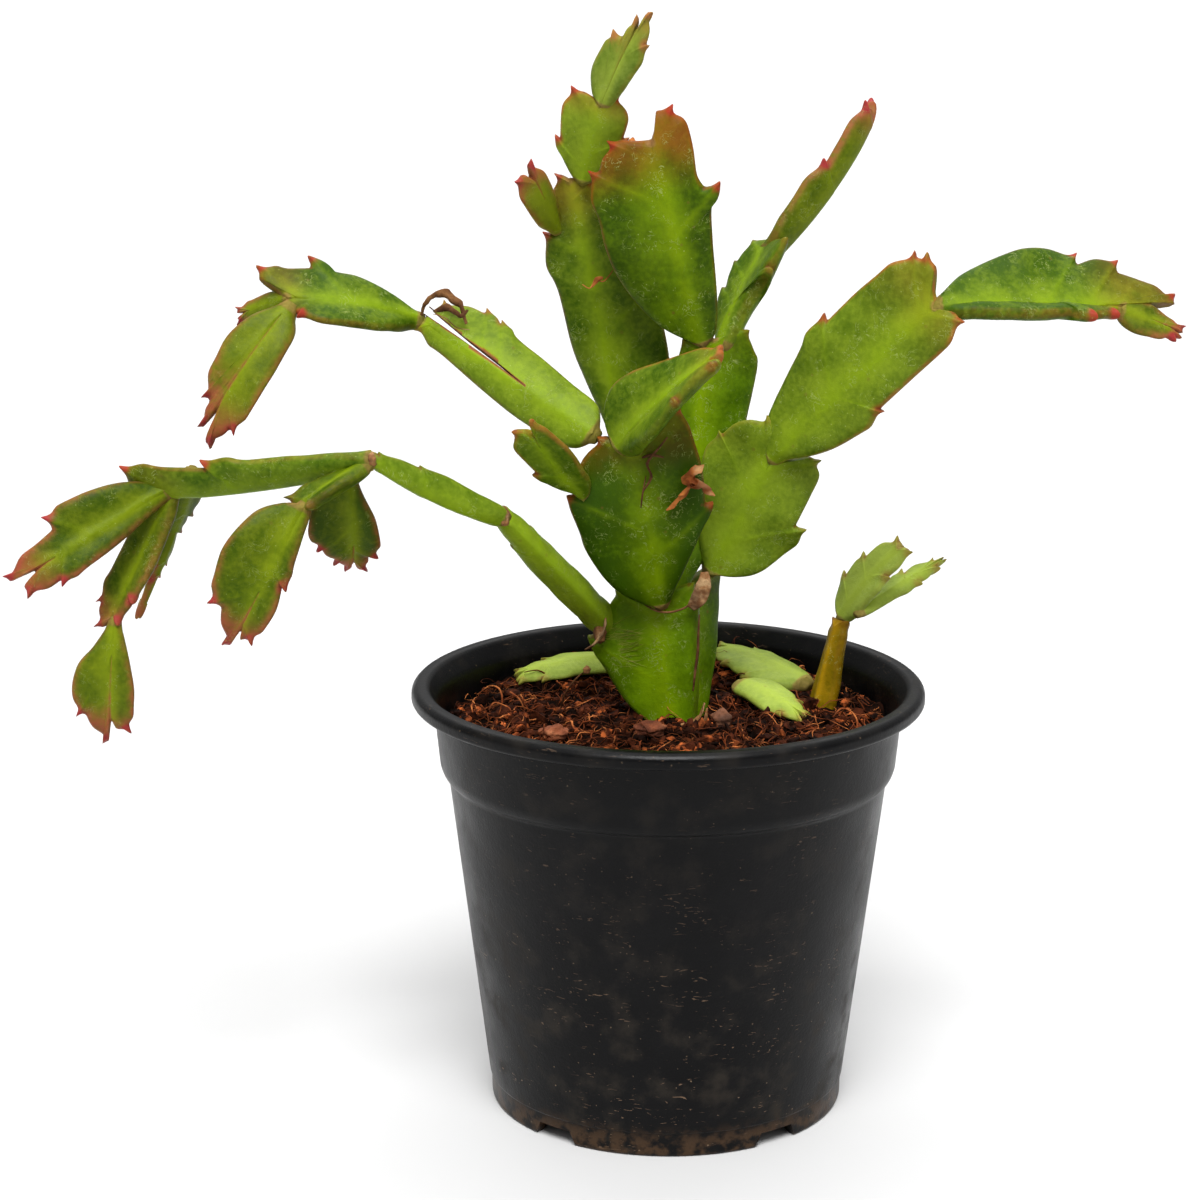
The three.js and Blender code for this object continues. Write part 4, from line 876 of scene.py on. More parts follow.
pad("upper_left_segment_3", "young", ["upper_left_segment_2", 30.8, -2.4], [-103, -14, 165.6],
    [-0.2, -1, 0.2], fold=[16, 20], thick=1.4, bow=2, tone=0.4, blush=0.4,
    left=[[2, 3], [5.9, 5.6], [15, 6.9], [25.1, 7.3], [30.6, 6.3, 1.5], [36, 2.8, 1.7]],
    right=[[2, 3], [6.6, 5.9], [13.3, 7.5], [19, 6.9], [27.5, 4.4, 1.8], [33.5, 1.8, 0.9]])
pad("upper_left_young_tip", "young", ["upper_left_segment_2", 30.8, 0.4], [-99.1, 4, 186.6],
    [0, -1, 0.4], fold=[15, 15], neck=1.2, thick=1.1, tone=0.3, blush=0.35,
    left=[[2, 2], [5, 3], [10.5, 2.6], [15.5, 1.8, 0.6]])
pad("lower_left_segment_1", "green", ["trunk_segment", 40, -12.5], [-38.2, -22, 146.5],
    [-0.5, 0.84, 0.15], fold=[56, 56], thick=1.7, bow=-1, tone=0.66, flush=(0.05, 0.0), claw=0.4,
    left=[[3, 4.2], [12, 5.8], [24, 6], [38, 5.2, 0.8], [48, 3.4, 0.8]])
pad("lower_left_segment_2", "green", ["lower_left_segment_1", 47, 0], [-66.8, -34, 161.7],
    [0.1, 0.75, 0.65], fold=[58, 58], thick=1.6, bow=-1.5, tone=0.38, flush=(0.1, 0.05), claw=0.4,
    left=[[3, 3.4], [12, 4.8], [24, 5, 0.6], [34, 3.2, 0.8]])
pad("lower_left_segment_3", "green", ["lower_left_segment_2", 34.4, 0], [-111.8, -24, 151.1],
    [0, 0.28, 1], fold=[52, 50], thick=1.6, bow=-0.6, tone=0.28, flush=(0.3, 0.9),
    left=[[3, 3.6], [14, 5.6], [28, 7], [37.6, 8.2, 2], [48, 8.2], [56.6, 9, 4]],
    right=[[3, 3.6], [12, 6], [24, 7.4], [33, 7.6, 1.5], [46, 7.6, 2.5]])
pad("lower_left_end_1", "young", ["lower_left_segment_3", 48.6, -1], [-141.5, -36, 134.5],
    [0, -1, 0.3], fold=[18, 16], thick=1.4, bow=1.5, tone=0.18, blush=0.3,
    left=[[1.5, 2.2], [8.3, 3.6], [15.4, 5], [25, 6.2], [30.4, 6.2, 1.2], [38, 4, 2.6]],
    right=[[2, 3.6], [8, 7], [14.6, 8.9], [21, 9.7], [26, 9, 3.4], [31, 5], [40, 2.6, 1.6]])
pad("lower_left_end_2", "young", ["lower_left_segment_3", 47.4, 0.6], [-124.9, -28, 121.9],
    [-0.5, -0.8, 0.1], fold=[35, 15], thick=1.4, bow=-1, tone=0.25, blush=0.35, flush=(0.5, 0.9),
    left=[[2, 2], [7.3, 3.6], [17.2, 4.6], [26, 4, 0.8], [32, 2.6, 1]],
    right=[[2, 2.6], [7.6, 5], [13, 6.2], [22.4, 6.4], [30, 5.6, 0.8], [35, 3, 1.6]])
pad("lower_left_end_3", "young", ["lower_left_end_2", 32, -0.5], [-125.8, -28, 97.3], [0, -1, 0],
    fold=[16, 16], neck=1.6, thick=1.3, bow=1.5, tone=0.35, blush=0.3,
    left=[[2, 1.8], [5, 2.8], [10, 4.4], [15.2, 5.4], [19.4, 5.4], [25.4, 4.2, 2]],
    right=[[2, 2], [6.3, 4.7], [10, 7.8], [15.1, 9], [18.6, 8.6], [21.8, 7.6, 1.8],
          [28.8, 1.8, 1.1]])
pad("lower_left_end_4", "young", ["lower_left_segment_3", 44.5, 7.4], [-117.9, -4, 129.9],
    [0.7, -0.7, 0], fold=[10, 10], neck=1.6, thick=1.3, tone=0.2, flush=(0.3, 0.5),
    left=[[2, 3], [8, 4.8], [15, 4.4, 1.2], [20, 2.8, 1]])
pad("lower_left_end_5", "young", ["lower_left_end_4", 18.2, 0], [-123.1, -6, 117.3],
    [0.8, -0.5, 0], neck=1.2, thick=1.1, tone=0.3, blush=0.35,
    left=[[2, 2.2], [6, 3.2], [10.5, 2.8, 0.8], [13.6, 1.8, 0.6]])
pad("lower_left_short_segment", "young", [-66, -34.4, 159.4], [-80.4, -40, 150.4], [0, -0.2, 1],
    fold=[38, 38], neck=1.5, thick=1.3, tone=0.2, flush=(0.15, 0.2),
    left=[[2, 2.4], [6, 4], [11, 4.4], [16, 3.4, 1]],
    right=[[2, 2.6], [5, 3.8], [11, 4.8], [18.2, 5.2, 1.6]])
pad("lower_left_hanging_1", "young", ["lower_left_short_segment", 16.6, 0.5], [-94.4, -44, 122.7],
    [0, -1, 0.1], fold=[20, 16], neck=1.8, thick=1.4, bow=3, tone=0.25, blush=0.3,
    left=[[2, 2.4], [7, 3.2], [12.8, 4.4], [17.3, 5, 1], [22.4, 5.3], [27, 5], [31.6, 3.6, 2]],
    right=[[1.3, 4.6], [4.8, 8.6], [9.8, 10.8], [15.7, 11.8], [21.8, 10.8], [27.4, 9, 3],
          [34.8, 2, 1.4]])
pad("lower_left_hanging_2", "young", ["lower_left_segment_3", 6, 0.6], [-71.4, -18, 133],
    [0.2, -1, 0], fold=[14, 14], neck=1.6, thick=1.3, bow=2, tone=0.1, blush=0.3,
    left=[[2, 1.8], [5.5, 2.4], [9.6, 3.8], [14.5, 5.6], [20.6, 6.4], [25.6, 5.4, 2],
          [31, 2.9, 1.6]],
    right=[[1.4, 3], [4.4, 6], [8.6, 9], [13.4, 10.3], [16, 10.2], [20.4, 8.2, 0.8], [26.6, 4.4, 1],
          [30.4, 1.6, 0.8]])
pad("small_stem", "woody", [34.4, 14.4, 77.5], [41.8, 20, 112.6], [-0.75, -0.6, 0], fold=[20, 20],
    neck=2.6, thick=2,
    left=[[8, 3], [12, 4.2], [20, 3.8], [30, 3], [35, 2.6, 0.5]])
pad("small_stem_segment_1", "pale", ["small_stem", 35.4, 0], [55.3, 14, 131], [-0.5, -0.8, 0.3],
    fold=[10, 30], neck=1.8, thick=1.3, bow=1, tone=0.9,
    left=[[2, 4.2], [6.4, 5.9], [9, 6.7, 0.8], [13.6, 6.3], [16, 6, 1], [20, 4.7], [24.5, 2.6, 1]],
    right=[[2, 2.6], [5, 3.6], [12, 4.2], [17, 3.8, 0.8], [25, 3.2, 1.2]])
pad("small_stem_segment_2", "pale", ["small_stem_segment_1", 5, 3.4], [67.1, 32, 123.8],
    [0, -0.6, 0.8], fold=[18, 18], neck=1.3, thick=1.1, tone=0.7,
    left=[[3, 2.4], [12, 3], [17, 3.6, 1], [26, 1.8, 0.8]],
    right=[[3, 1.8], [11, 2.2], [18, 2.4, 0.8], [25, 1.4, 0.6]])
pad("lying_segment_1", "pale", [33.6, 27, 93.4], [11.9, 42.6, 98.2], [0, -0.15, 1], neck=3,
    thick=1.3, bow=0.8, tone=0.7,
    left=[[1, 5], [5.3, 7.8], [12.5, 9.3, 1], [20, 7.3, 1], [26, 4, 1]],
    right=[[2, 4], [6, 5], [12, 5.4], [19, 5, 1], [28, 3, 1]])
pad("lying_segment_2", "pale", [17.6, 17.6, 95.6], [31.9, 1.6, 92], [0, -0.24, 1], neck=3,
    thick=1.2, bow=0.6, tone=0.8,
    left=[[1.5, 5], [5, 6.4], [11, 5.8], [16, 4.6, 0.6], [21, 2.2, 0.5]],
    right=[[2, 3.6], [6, 4], [12, 4.9], [18, 4, 0.6], [23, 1.8, 0.5]])
pad("lying_segment_3", "pale", [-13, 38.5, 95.4], [-37.6, 31.6, 93.2], [0, -0.3, 1], neck=2.6,
    thick=1.2, bow=1.5, tone=0.9,
    left=[[3, 4.4], [10, 4.8], [19.6, 5, 1], [25, 3, 0.8]],
    right=[[2, 4.7], [8.6, 5.4], [17.3, 4.4, 1], [24.5, 3, 0.8]])


def make_pads():
    """Each segment's skin: the grid of its rows with a face on each end. The trunk's skin holds its
    second blade too, and the torn segment is split."""
    for seed, segment in enumerate(pads.values()):
        if segment.name == "trunk_wing":
            continue
        points, faces, paint = segment.skin(FIRST_PAD_SEED + seed)
        if segment.name == "trunk_segment":
            more, more_faces, more_paint = pads["trunk_wing"].skin(WING_SEED)
            faces = faces + [[i + len(points) for i in f] for f in more_faces]
            points = np.vstack([points, more])
            paint = {layer: np.vstack([paint[layer], more_paint[layer]]) for layer in paint}
        piece = make_piece(segment.name + "_skin", points, faces, segment.look,
                           [segment.name], paint)
        if segment.name == "upper_left_segment_1":
            cut(piece, *split_wedge(segment))


def split_wedge(segment):
    """The places and faces of a wedge that opens the torn segment from its far end back along
    the midrib."""
    plan = np.array([[19, 0.3], [28, 0.9], [36, 1.2], [44, 1.5], [56, 1.8], [56, 4.2], [46, 3.0],
                     [37, 2.0], [27, 1.3]])
    deep = WEDGE_DEPTH * np.cross(segment.along, segment.across)
    flat = segment.seat + plan[:, :1] * segment.along + plan[:, 1:] * segment.across
    return np.vstack([flat - deep, flat + deep]), tube_faces(2, len(plan))


# ------------------------------------------------------------------ pot
POT_HEIGHT = 101.5
LIP_RADIUS = 60
LIP_INNER_RADIUS = 55.8
LIP_BOTTOM = 97.7
COLLAR_TOP_RADIUS = 54.8
COLLAR_BOTTOM_RADIUS = 53.4
COLLAR_BOTTOM = 82.6
BODY_TOP_RADIUS = 51.5
BODY_TOP = 79.9
STEP_RADIUS = 42.4
STEP_HEIGHT = 6.1
FOOT_RADIUS = 41.9
FOOT_INNER_RADIUS = 38.9
POT_WALL = 1.3
FLOOR_BOTTOM = 3.8
FLOOR_TOP = 5.4
FOOT_SLOT_ANGLES = [37.8, 109, 180, 251, 322.2]
FOOT_SLOT_WIDTH = 12
FOOT_SLOT_HEIGHT = 3.4
DRAIN_HOLES = 8
DRAIN_RADIUS = 3.5
DRAIN_CIRCLE = 29
POT_SIDES = 192
WANDER = 0.0012  # as a share of the radius, in full from WANDER_FULL up to WANDER_TOP
WANDER_WAVES, WANDER_FULL, WANDER_TOP = 3, 60, 97
SLOT_CUT = (36, 44)  # from and to how far from the axis a slot is cut
SLOT_SLOPE = 1.6
HOLE_SIDES = 32
POT_CREASE = math.radians(38)


def rounded_profile(corners):
    """A profile through [radius, height, rounding] corners: each corner is swapped for a quadratic
    arc that starts and ends at its rounding distance, capped at 0.45 of the shorter neighbour."""
    corners = np.asarray(corners, float)
    places = [corners[0, :2]]
    t = np.linspace(0, 1, 5)[:, None]
    for before, corner, after in zip(corners[:-2], corners[1:-1], corners[2:]):
        back, on = before[:2] - corner[:2], after[:2] - corner[:2]
        reach = min(corner[2], 0.45 * np.linalg.norm(back), 0.45 * np.linalg.norm(on))
        start, end = corner[:2] + unit(back) * reach, corner[:2] + unit(on) * reach
        places.extend((1 - t) ** 2 * start + 2 * t * (1 - t) * corner[:2] + t ** 2 * end)
    places.append(corners[-1, :2])
    return np.array(places)


def turned(profile, sides):
    """A profile of radius and height turned round the axis; its first and last places are poles."""
    rings = ring(profile[1:-1, :1], profile[1:-1, 1:], sides)
    points = np.vstack([rings.reshape(-1, 3), [0, 0, profile[0, 1]], [0, 0, profile[-1, 1]]])
    return points, capped_faces(len(rings), sides)


def make_pot():
    """The pot: one rounded profile turned round the axis, from the underside of the floor out over
    the foot, the body, the collar and the lip and back down the inside. Each foot slot is a wedge
    that narrows upwards, and each drain hole a round rod, cut out of it."""
    def inner(radius):
        """The inside of the wall whose outside is at this radius."""
        return radius - POT_WALL

    profile = rounded_profile([
        [0, FLOOR_BOTTOM, 0], [FOOT_INNER_RADIUS - 0.3, FLOOR_BOTTOM, 0.5],
        [FOOT_INNER_RADIUS, 0.6, 0.3], [FOOT_INNER_RADIUS + 0.6, 0, 0.4],
        [FOOT_RADIUS - 0.5, 0, 0.5], [FOOT_RADIUS, 0.6, 0.4],
        [FOOT_RADIUS + 0.1, STEP_HEIGHT - 0.4, 0.3], [STEP_RADIUS, STEP_HEIGHT, 0.4],
        [BODY_TOP_RADIUS, BODY_TOP, 1.0], [BODY_TOP_RADIUS + 1.2, BODY_TOP + 1.0, 0.5],
        [COLLAR_BOTTOM_RADIUS, COLLAR_BOTTOM, 0.9], [COLLAR_TOP_RADIUS, LIP_BOTTOM - 1.1, 0.8],
        [COLLAR_TOP_RADIUS + 1.3, LIP_BOTTOM - 0.5, 0.3],
        [COLLAR_TOP_RADIUS + 1.5, LIP_BOTTOM, 0.3],
        [LIP_RADIUS - 0.5, LIP_BOTTOM, 0.5], [LIP_RADIUS, LIP_BOTTOM + 0.6, 0.6],
        [LIP_RADIUS, POT_HEIGHT - 1.2, 1.2], [LIP_RADIUS - 1.2, POT_HEIGHT, 1.0],
        [LIP_INNER_RADIUS + 0.8, POT_HEIGHT, 0.6], [LIP_INNER_RADIUS, POT_HEIGHT - 0.6, 0.6],
        [inner(COLLAR_TOP_RADIUS) + 0.4, LIP_BOTTOM - 0.6, 1.0],
        [inner(COLLAR_BOTTOM_RADIUS) + 0.1, COLLAR_BOTTOM, 0.8],
        [inner(BODY_TOP_RADIUS), BODY_TOP, 0.8],
        [inner(STEP_RADIUS) - 0.1, FLOOR_TOP, 1.0], [0, FLOOR_TOP, 0],
    ])
    points, faces = turned(profile, POT_SIDES)
    # the thin wall is not quite true: it wanders by up to 0.07 mm round the pot
    angle = np.arctan2(points[:, 1], points[:, 0])
    rise = np.clip(points[:, 2] / WANDER_FULL, 0, 1)
    wander = 1 + WANDER * np.sin(WANDER_WAVES * angle + 0.04 * points[:, 2]) * rise
    points[:, :2] *= np.where(points[:, 2] < WANDER_TOP, wander, 1)[:, None]
    pot = make_piece("pot_shell", points, faces, "pot", ["pot"])

    half = FOOT_SLOT_WIDTH / 2
    outline = np.array([[-half, -2], [half, -2], [half, 0], [half - SLOT_SLOPE, FOOT_SLOT_HEIGHT],
                        [SLOT_SLOPE - half, FOOT_SLOT_HEIGHT], [-half, 0]])
    tools = []
    for degrees in FOOT_SLOT_ANGLES:
        turn = math.radians(degrees)
        aside = np.array([math.cos(turn), math.sin(turn), 0])
        out = np.array([math.sin(turn), -math.cos(turn), 0])
        face = outline[:, :1] * aside + outline[:, 1:] * np.array([0, 0, 1])
        tools.append([face + reach * out for reach in SLOT_CUT])
    for i in range(DRAIN_HOLES):
        turn = 2 * math.pi * i / DRAIN_HOLES
        center = DRAIN_CIRCLE * np.array([math.cos(turn), math.sin(turn), 0])
        disc = center + ring(DRAIN_RADIUS, 0, HOLE_SIDES)
        tools.append([disc + [0, 0, level] for level in (FLOOR_BOTTOM - 2, FLOOR_TOP + 2)])
    tool_faces, count = [], 0
    for near, _ in tools:
        tool_faces += [[i + count for i in f] for f in tube_faces(2, len(near))]
        count += 2 * len(near)
    cut(pot, np.vstack([face for tool in tools for face in tool]), tool_faces)
    pot.data.set_sharp_from_angle(angle=POT_CREASE)


# ------------------------------------------------------------------ soil
SOIL_TOP = 90.2
SOIL_LUMPS = 1.1
SOIL_TILT = 0.045
HEAP_PLACE = (14, 43)
HEAP_HEIGHT = 4.6
HEAP_WIDTH = 10
SOIL_RADIUS = 53.0
SOIL_SIDES, SOIL_RINGS = 300, 120
SOIL_WALL = ((52.4, 84), (51.6, 82.4), (49.6, 79), (41.4, FLOOR_TOP + 0.4))  # radius, height
SOIL_TONE = 0.35
TRUNK_PLACE, TRUNK_CLEAR, TRUNK_SQUASH = (3.2, 6), 8.5, 1.1
SMALL_STEM_PLACE, SMALL_STEM_CLEAR = (36.4, 15.8), 5.5
CRUMBS, CRUMB_SEED = 3400, 3
CHIPS, CHIP_SEED = 420, 5
FIBRES, FIBRE_SEED = 1700, 7
FIBRE_PLACES, FIBRE_SIDES = 9, 3
FIBRE_REACH = 52.0
GRAIN_THINNEST = 0.65
SCATTER = 50.5  # how far from the axis the chips and the fibres start
LUMP_ROWS, LUMP_COLUMNS = 26, 44
LUMP_TONE = 0.75


def soil_height(x, y):
    """The soil's level: a crown that falls as a cosine to the wall, a tilt up to the back, long
    uneven waves, and a heap that falls off as a bell."""
    rough = (np.sin(0.31 * x + 1.3) * np.cos(0.27 * y) + 0.7 * np.sin(0.63 * x - 0.47 * y)
             + 0.5 * np.cos(0.91 * y + 0.5 * x))
    heap = HEAP_HEIGHT * bell(np.hypot(x - HEAP_PLACE[0], y - HEAP_PLACE[1]), HEAP_WIDTH)
    crown = 1.2 * np.cos(np.pi * np.hypot(x, y) / 110)
    return SOIL_TOP + 0.5 * SOIL_LUMPS * rough + crown + SOIL_TILT * y + heap


def soil_detail(x, y):
    """Clods and pits between the fibres: layered noise, with the pits drawn deeper."""
    places = np.stack([x, y, 0 * x], -1)
    clods = layered_noise(places, 5.0, 41, 3)
    fine = layered_noise(places, 1.3, 43, 2)
    return 1.0 * clods - 1.3 * np.clip(-clods - 0.1, 0, 1) + 0.35 * fine


def make_ground():
    """The soil's skin: rings of places from the middle out to the wall at the soil's level, then
    down inside the wall to the pot's floor, with a pole at each end."""
    top = ring(SOIL_RADIUS * (np.arange(1, SOIL_RINGS + 1) / SOIL_RINGS)[:, None], 0, SOIL_SIDES)
    x, y = top[..., 0], top[..., 1]
    top[..., 2] = soil_height(x, y) + soil_detail(x, y)
    wall = np.array(SOIL_WALL)
    points = np.concatenate([top, ring(wall[:, :1], wall[:, 1:], SOIL_SIDES)])
    middle = soil_height(0.0, 0.0) + soil_detail(np.zeros(1), np.zeros(1))[0]
    faces = capped_faces(len(points), SOIL_SIDES)
    points = np.vstack([points.reshape(-1, 3), [0, 0, middle], [0, 0, SOIL_WALL[-1][1]]])
    make_piece("soil_ground", points, faces, "soil", ["soil"],
               even_tone(points, SOIL_TONE))


def scattered(draw, count, radius):
    """Seeded places spread evenly over a disc, clear of the stems that stand in it."""
    reach = radius * np.sqrt(draw.random(count * 2))
    turn = draw.random(count * 2) * 2 * np.pi
    x, y = reach * np.cos(turn), reach * np.sin(turn)
    free = np.hypot((x - TRUNK_PLACE[0]) / TRUNK_SQUASH, y - TRUNK_PLACE[1]) > TRUNK_CLEAR
    free &= np.hypot(x - SMALL_STEM_PLACE[0], y - SMALL_STEM_PLACE[1]) > SMALL_STEM_CLEAR
    return x[free][:count], y[free][:count]


def any_turn(draw, count):
    """Seeded rotation matrices from random unit quaternions."""
    w, x, y, z = units(draw.normal(size=(count, 4))).T
    return np.stack([
        np.stack([1 - 2 * (y * y + z * z), 2 * (x * y - w * z), 2 * (x * z + w * y)], -1),
        np.stack([2 * (x * y + w * z), 1 - 2 * (x * x + z * z), 2 * (y * z - w * x)], -1),
        np.stack([2 * (x * z - w * y), 2 * (y * z + w * x), 1 - 2 * (x * x + y * y)], -1),
    ], 1)


def twenty_faces():
    """The corners and faces of a regular solid with twenty faces."""
    g = (1 + 5 ** 0.5) / 2
    corners = np.array([[-1, g, 0], [1, g, 0], [-1, -g, 0], [1, -g, 0], [0, -1, g], [0, 1, g],
                        [0, -1, -g], [0, 1, -g], [g, 0, -1], [g, 0, 1], [-g, 0, -1], [-g, 0, 1]])
    faces = np.array([[0, 11, 5], [0, 5, 1], [0, 1, 7], [0, 7, 10], [0, 10, 11], [1, 5, 9],
                      [5, 11, 4], [11, 10, 2], [10, 7, 6], [7, 1, 8], [3, 9, 4], [3, 4, 2],
                      [3, 2, 6], [3, 6, 8], [3, 8, 9], [4, 9, 5], [2, 4, 11], [6, 2, 10],
                      [8, 6, 7], [9, 8, 1]])
    return corners / np.linalg.norm(corners[0]), faces


def make_grains(name, seed, count, radius, sizes, flatness, lift, spread):
    """Loose grains: each is a twenty-faced lump with every corner moved in or out by a seeded
    share, flattened, turned at random and laid on the soil. The spread is the share of them that
    lean any way; the rest lie flat."""
    draw = np.random.default_rng(seed)
    x, y = scattered(draw, count, radius)
    count = len(x)
    corners, faces = twenty_faces()
    size = sizes[0] + (sizes[1] - sizes[0]) * draw.random(count) ** 2.5
    swell = GRAIN_THINNEST + 0.6 * draw.random((count, len(corners)))
    local = corners[None] * swell[..., None] * size[:, None, None]
    local = local * np.array([1, 0.75, flatness])
    lean = any_turn(draw, count)
    flat = np.zeros((count, 3, 3))
    turn = draw.random(count) * 2 * np.pi
    flat[:, 0, 0], flat[:, 0, 1] = np.cos(turn), -np.sin(turn)
    flat[:, 1, 0], flat[:, 1, 1] = np.sin(turn), np.cos(turn)
    flat[:, 2, 2] = 1
    mixed = np.where((draw.random(count) < spread)[:, None, None], lean, flat)
    local = np.einsum("nij,nkj->nki", mixed, local)
    z = soil_height(x, y) + soil_detail(x, y) + lift * size
    points = local + np.stack([x, y, z], -1)[:, None, :]
    first = len(corners) * np.arange(count)
    all_faces = (faces[None] + first[:, None, None]).reshape(-1, 3)
    tones = np.repeat(draw.random(count), len(corners))
    piece = make_piece(name, points, all_faces, "crumb", (), own_tones(tones))
    piece.data.polygons.foreach_set("use_smooth", np.zeros(len(all_faces), bool))


def fibre_tubes(paths, radii, sides):
    """Tubes round many paths at once: at each place a ring of sides places stands square to the
    step from the place before to the place after, and its radius falls off to the ends."""
    count, steps = paths.shape[:2]
    step = np.gradient(paths, axis=1)
    step /= np.linalg.norm(step, axis=2, keepdims=True) + 1e-9
    aside = np.cross(step, np.array([0.13, 0.21, 1.0]))
    aside /= np.linalg.norm(aside, axis=2, keepdims=True) + 1e-9
    up = np.cross(aside, step)
    turn = np.linspace(0, 2 * np.pi, sides, endpoint=False)
    share = np.linspace(0, 1, steps)
    taper = 0.35 + 0.65 * np.sin(np.pi * np.clip(share, 0.06, 0.94)) ** 0.6
    wide = (radii[:, None] * taper)[..., None, None]
    ring = (aside[:, :, None, :] * np.cos(turn)[:, None]
            + 0.7 * up[:, :, None, :] * np.sin(turn)[:, None])
    points = (paths[:, :, None, :] + wide * ring).reshape(-1, 3)
    return points, tube_faces(steps, sides, count)


def make_fibres():
    """Coir fibres: each path starts at a seeded place and heading, turns at a steady rate with a
    wobble, and rides over the soil on an arch; a few stand up higher."""
    draw = np.random.default_rng(FIBRE_SEED)
    x0, y0 = scattered(draw, FIBRES, SCATTER)
    count = len(x0)
    length = 3.5 + 11 * draw.random(count) ** 1.7
    share = np.linspace(0, 1, FIBRE_PLACES)[None, :]
    heading = (draw.random((count, 1)) * 2 * np.pi
               + (draw.random((count, 1)) - 0.5) * 5 * share
               + 0.5 * np.sin(2 * np.pi * (share * 1.5 + draw.random((count, 1)))))
    step = (length / (FIBRE_PLACES - 1))[:, None]
    x = x0[:, None] + np.cumsum(np.cos(heading) * step, axis=1)
    y = y0[:, None] + np.cumsum(np.sin(heading) * step, axis=1)
    keep = np.minimum(1, FIBRE_REACH / np.maximum(np.hypot(x, y), 1e-6))
    x, y = x * keep, y * keep
    arch = (0.15 + 1.5 * draw.random((count, 1)) ** 3) * np.sin(np.pi * share)
    arch = arch + (draw.random((count, 1)) < 0.07) * 3.2 * np.sin(0.5 * np.pi * share)
    z = soil_height(x, y) + 0.5 * soil_detail(x, y) + 0.25 + arch
    radii = 0.1 + 0.2 * draw.random(count) ** 2
    points, faces = fibre_tubes(np.stack([x, y, z], -1), radii, FIBRE_SIDES)
    tones = np.repeat(0.25 + 0.75 * draw.random(count), FIBRE_PLACES * FIBRE_SIDES)
    make_piece("soil_fibres", points, faces, "fibre", (), own_tones(tones))


def round_grid(rows, columns):
    """Directions on a ball as a grid of latitude rows and longitude columns without its poles."""
    lift = np.linspace(-np.pi / 2, np.pi / 2, rows + 2)[1:-1, None]
    return ring(np.cos(lift), np.sin(lift), columns)


def make_lump(name, center, size, finish, seed, grit=0.1, nodes=()):
    """A pebble, a piece of bark or a crusty lump: a ball scaled to its size, swollen by the same
    waves as its solid where it has one, and roughened by layered noise along its radius."""
    way = round_grid(LUMP_ROWS, LUMP_COLUMNS)
    x, y, z = way[..., 0], way[..., 1], way[..., 2]
    swell = 1 + 0.12 * np.sin(5.1 * x + seed) * np.cos(4.3 * y - seed) + 0.06 * np.sin(7 * z)
    swell = swell * (0.97 + grit * layered_noise(way * 10, 5.0, seed, 3))
    points = (np.array(center) + way * np.array(size) * swell[..., None]).reshape(-1, 3)
    make_piece(name, points, tube_faces(LUMP_ROWS, LUMP_COLUMNS), finish, nodes,
               even_tone(points, LUMP_TONE))


def make_soil():
    """The soil's skin, what is scattered on it, and the stones and bark that stand for nodes."""
    make_ground()
    make_grains("soil_crumbs", CRUMB_SEED, CRUMBS, radius=SCATTER + 1, sizes=(0.35, 1.9),
                flatness=0.6, lift=0.15, spread=0.8)
    make_grains("soil_chips", CHIP_SEED, CHIPS, radius=SCATTER, sizes=(0.9, 3.4),
                flatness=0.3, lift=0.2, spread=0.6)
    make_fibres()
    make_lump("pebble_stone", [12.6, -0.5, 92.6], [2.5, 2.4, 2.3], "pebble", 1,
              grit=0.035, nodes=["pebble"])
    make_lump("bark_piece_1", [-4, -9, 92.4], [4, 2.6, 1.9], "bark", 2,
              grit=0.12, nodes=["bark_chunk_1"])
    make_lump("bark_piece_2", [-26, -12, 92.2], [3.4, 2.6, 1.8], "bark", 3,
              grit=0.12, nodes=["bark_chunk_2"])


# ------------------------------------------------------------------ small details
PETAL_COLUMNS = 9
HAIRS, HAIR_PLACES, HAIR_SEED = 54, 14, 21
HAIR_TONE = 0.6
HAIR_CLEARANCE = 0.08
TRUNK_WIDEST = 17.9
LOOSE_FIBRE_SEED = 31


def strand(name, places, radius, finish, tone=0.7, steps=24, sides=6):
    """A dry strand along a smooth curve through a few places."""
    path = through_places(places, np.linalg.norm(np.diff(places, axis=0), axis=1).sum() / steps)
    path = np.vstack([path, places[-1]])
    points, faces = fibre_tubes(path[None], np.array([radius]), sides)
    make_piece(name, points, faces, finish, (), even_tone(points, tone))


def dried_petal(name, path, widths, aside, curl, finish, tone=0.75, thickness=0.22):
    """A dried petal: a strip along a smooth path, its half width from the widths, its edges lifted
    by the curl times the square of the place across and crinkled by noise, with two skins."""
    line = np.vstack([through_places(path, 0.5), path[-1]])
    share = np.linspace(0, 1, len(line))
    half = np.interp(share, np.linspace(0, 1, len(widths)), widths)[:, None]
    step = units(np.gradient(line, axis=0))
    aside = np.asarray(aside, float)
    side = units(aside - step * (step @ aside)[:, None])
    up = np.cross(side, step)
    u = np.linspace(-1, 1, PETAL_COLUMNS)
    loop = np.concatenate([u, u[::-1]])
    skin = np.repeat([1.0, -1.0], PETAL_COLUMNS)
    lift = curl * (loop ** 2)[None, :] * half
    points = line[:, None] + side[:, None] * (half * loop)[..., None]
    crinkle = layered_noise(points, 1.6, 5, 2)
    rim = np.sqrt(np.clip(1.05 - loop ** 2, 0.02, 1))
    lift = lift + 0.35 * crinkle * np.minimum(half, 1.2) + skin * thickness * rim
    points = points + up[:, None] * lift[..., None]
    faces = tube_faces(*points.shape[:2])
    points = points.reshape(-1, 3)
    make_piece(name, points, faces, finish, (), even_tone(points, tone))


